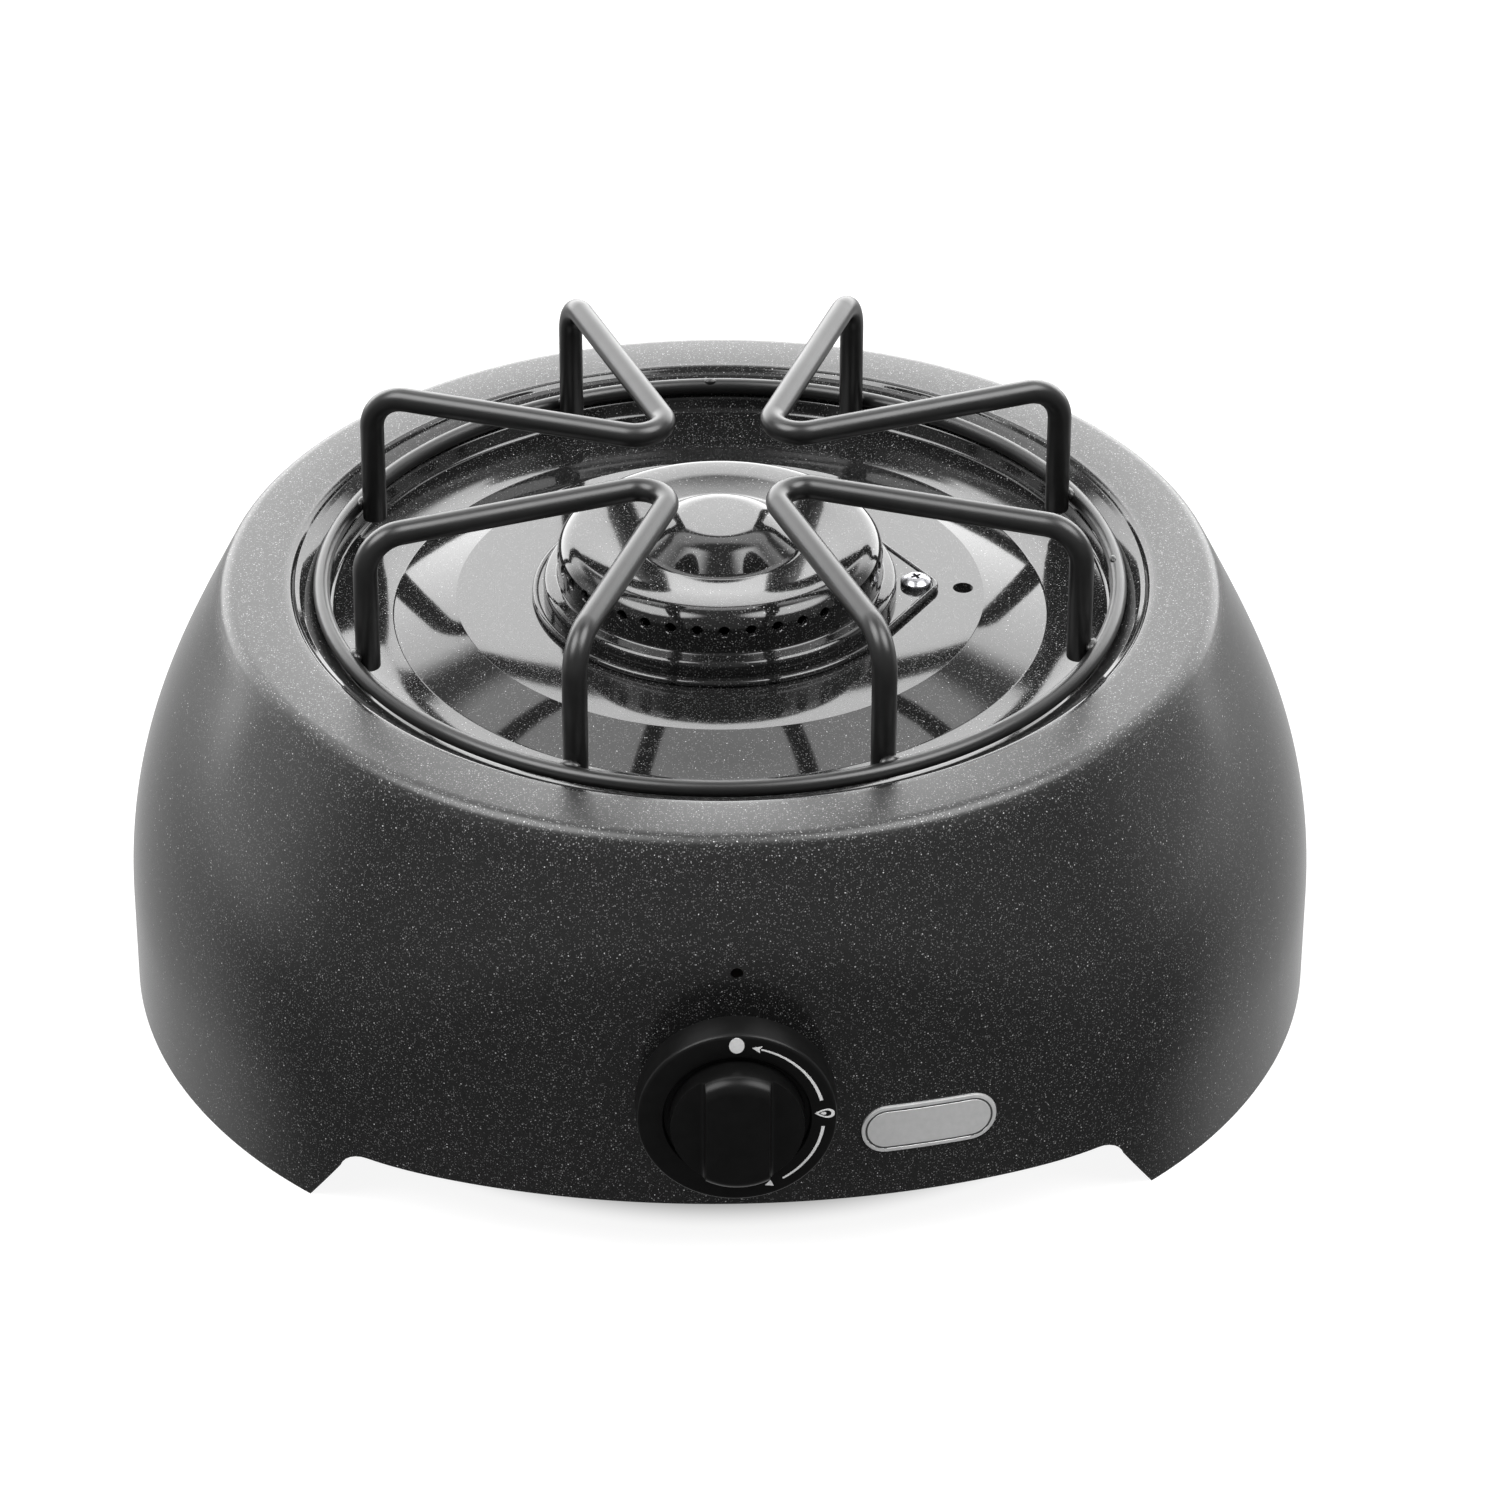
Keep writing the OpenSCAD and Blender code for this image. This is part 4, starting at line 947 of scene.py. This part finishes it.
marks.append(ink("drop_core", drop(CORE_SIZE, core_at)))
rim = ink("drop_rim", drop(RIM_OUT, drop_at))
cut(rim, filled("inside", drop(RIM_IN, drop_at), 7, 2))
marks.append(rim)
dial = join(marks)
dial.name = "dial_marks"
hand_over(dial, "knob_and_spindle", dial_print, (), 30)

# %% [markdown]
# ## The blank plate
# A small pill-shaped plate sits right of the knob. It is drawn flat, given a fine dark line inside
# its edge, cut into strips so that it can bend, and laid on the curved face of the body.

# %% Cut the plate and lay it on the body
PLATE_X, PLATE_Z, PLATE_L, PLATE_H, PLATE_T = 45.5, 36.0, 32.0, 12.0, 0.6
PLATE_EDGE, PLATE_RIM, LINE_SIDE, LINE_W = 0.12, 0.75, 0.05, 0.42
EDGE_RISE, LINE_DEPTH = 0.08, 0.06
STRIP, STRIPS = 1.2, 13
half_run = (PLATE_L - PLATE_H) / 2
pill = []
for side in (1, -1):
    for a in np.linspace(-90, 90, 17):
        pill.append(on_dial(PLATE_H / 2, a) * side + Vector((side * half_run, 0)))
plate = draw("blank_pill_plate", upright(pill))
bpy.ops.mesh.edge_face_add()
pull((0, -PLATE_T * MM, 0))
close_up()
choose(plate, lambda p: p.y < -PLATE_T / 2)
bpy.ops.mesh.select_mode(type="FACE")
for width, rise in ((PLATE_EDGE, EDGE_RISE), (PLATE_RIM, 0), (LINE_SIDE, -LINE_DEPTH),
                    (LINE_W, 0), (LINE_SIDE, LINE_DEPTH)):
    bpy.ops.mesh.inset(thickness=width * MM, depth=rise * MM)
edit_all(plate)
for step in range(-STRIPS, STRIPS + 1):
    bpy.ops.mesh.select_all(action="SELECT")
    bpy.ops.mesh.bisect(plane_co=(step * STRIP * MM, 0, 0), plane_no=(1, 0, 0))
let_go()
for surface in (plate_metal, plate_line):
    plate.data.materials.append(surface.material)
line_from = PLATE_EDGE + PLATE_RIM + LINE_SIDE
for face in plate.data.polygons:
    past = max(abs(face.center.x) / MM - half_run, 0)
    inside = PLATE_H / 2 - math.hypot(past, face.center.z / MM)
    in_line = line_from < inside < line_from + LINE_W
    face.material_index = int(face.normal.y < -0.5 and in_line)
points = np.array([v.co for v in plate.data.vertices]) / MM
px, pz = points[:, 0] + PLATE_X, points[:, 2] + PLATE_Z
wall_r = np.interp(pz, [p[1] for p in wall[::-1]], [p[0] for p in wall[::-1]])
seat = soft_least(np.sqrt(wall_r ** 2 - px ** 2), face_reach(px, pz))
points = np.stack([px, points[:, 1] - seat, pz], 1)
plate.data.vertices.foreach_set("co", (points * MM).ravel())
plate.data.update()
hand_over(plate, "stove", plate_metal, ["name_plate"], 30)

# %% [markdown]
# ## The return spring
# A small coil of wire inside the tap pushes the knob back out. A Screw modifier carries a circle
# of wire round the axis and along it, and the two open ends are filled. The real spring gets
# shorter as the knob is pushed in; the push's travel is read from the record and the spring gets
# a mesh of its own, but the piece is not squashed.

# %% Coil the spring
SPRING_WIRE, SPRING_TURNS, SPRING_STEPS = 0.9, 5, 24
low, high = (Vector(corner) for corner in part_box("spindle_spring"))
coil_r = (high.x - low.x) / 2 - SPRING_WIRE / 2 * MM
coil_len = high.y - low.y
outer_end = Vector(((low.x + high.x) / 2, low.y, (low.z + high.z) / 2))
let_go()
bpy.ops.mesh.primitive_circle_add(vertices=10, radius=SPRING_WIRE / 2 * MM)
spring = bpy.context.object
spring.name = "return_spring"
edit_all(spring)
bpy.ops.transform.translate(value=(coil_r, SPRING_WIRE / 2 * MM, 0))
modify(spring, "SCREW", axis="Y", angle=2 * math.pi, iterations=SPRING_TURNS,
       steps=SPRING_STEPS, render_steps=SPRING_STEPS,
       screw_offset=(coil_len - SPRING_WIRE * MM) / SPRING_TURNS)
edit_all(spring)
bpy.ops.mesh.fill_holes(sides=0)
close_up()
bpy.ops.transform.translate(value=outer_end)
let_go()
hand_over(spring, "knob_and_spindle", zinc, ["spindle_spring"], 50)
joints = frame["record"]["behaviour"]["joints"]
push = next(joint for joint in joints if joint["name"] == "knob_push")
travel = push["range_m"][1]
1 - travel / coil_len
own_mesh(spring)

# %% [markdown]
# ## The works underneath
# The tap, its bracket, the mixing tube and the gas line are plain turned and bent metal whose
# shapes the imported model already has. They only need their finishes: brass for what carries gas,
# zinc-plated steel for the rest, and rubber for the grommet.

# %% Dress the carried-over pieces
slots_of = {part["node"]: part["material_slot"] for part in frame["record"]["subparts"]}
dressed = []
for name, node in frame["nodes"].items():
    if node.hide_render:
        continue
    if not node.material_slots:
        node.data.materials.append(None)
    for holder in node.material_slots:
        holder.material = finishes[slots_of[name]].material
    dressed.append(name)
print("dressed", dressed)

# %% [markdown]
# ## The end
# The script ends in object mode, with nothing selected.

# %% Leave object mode
let_go()
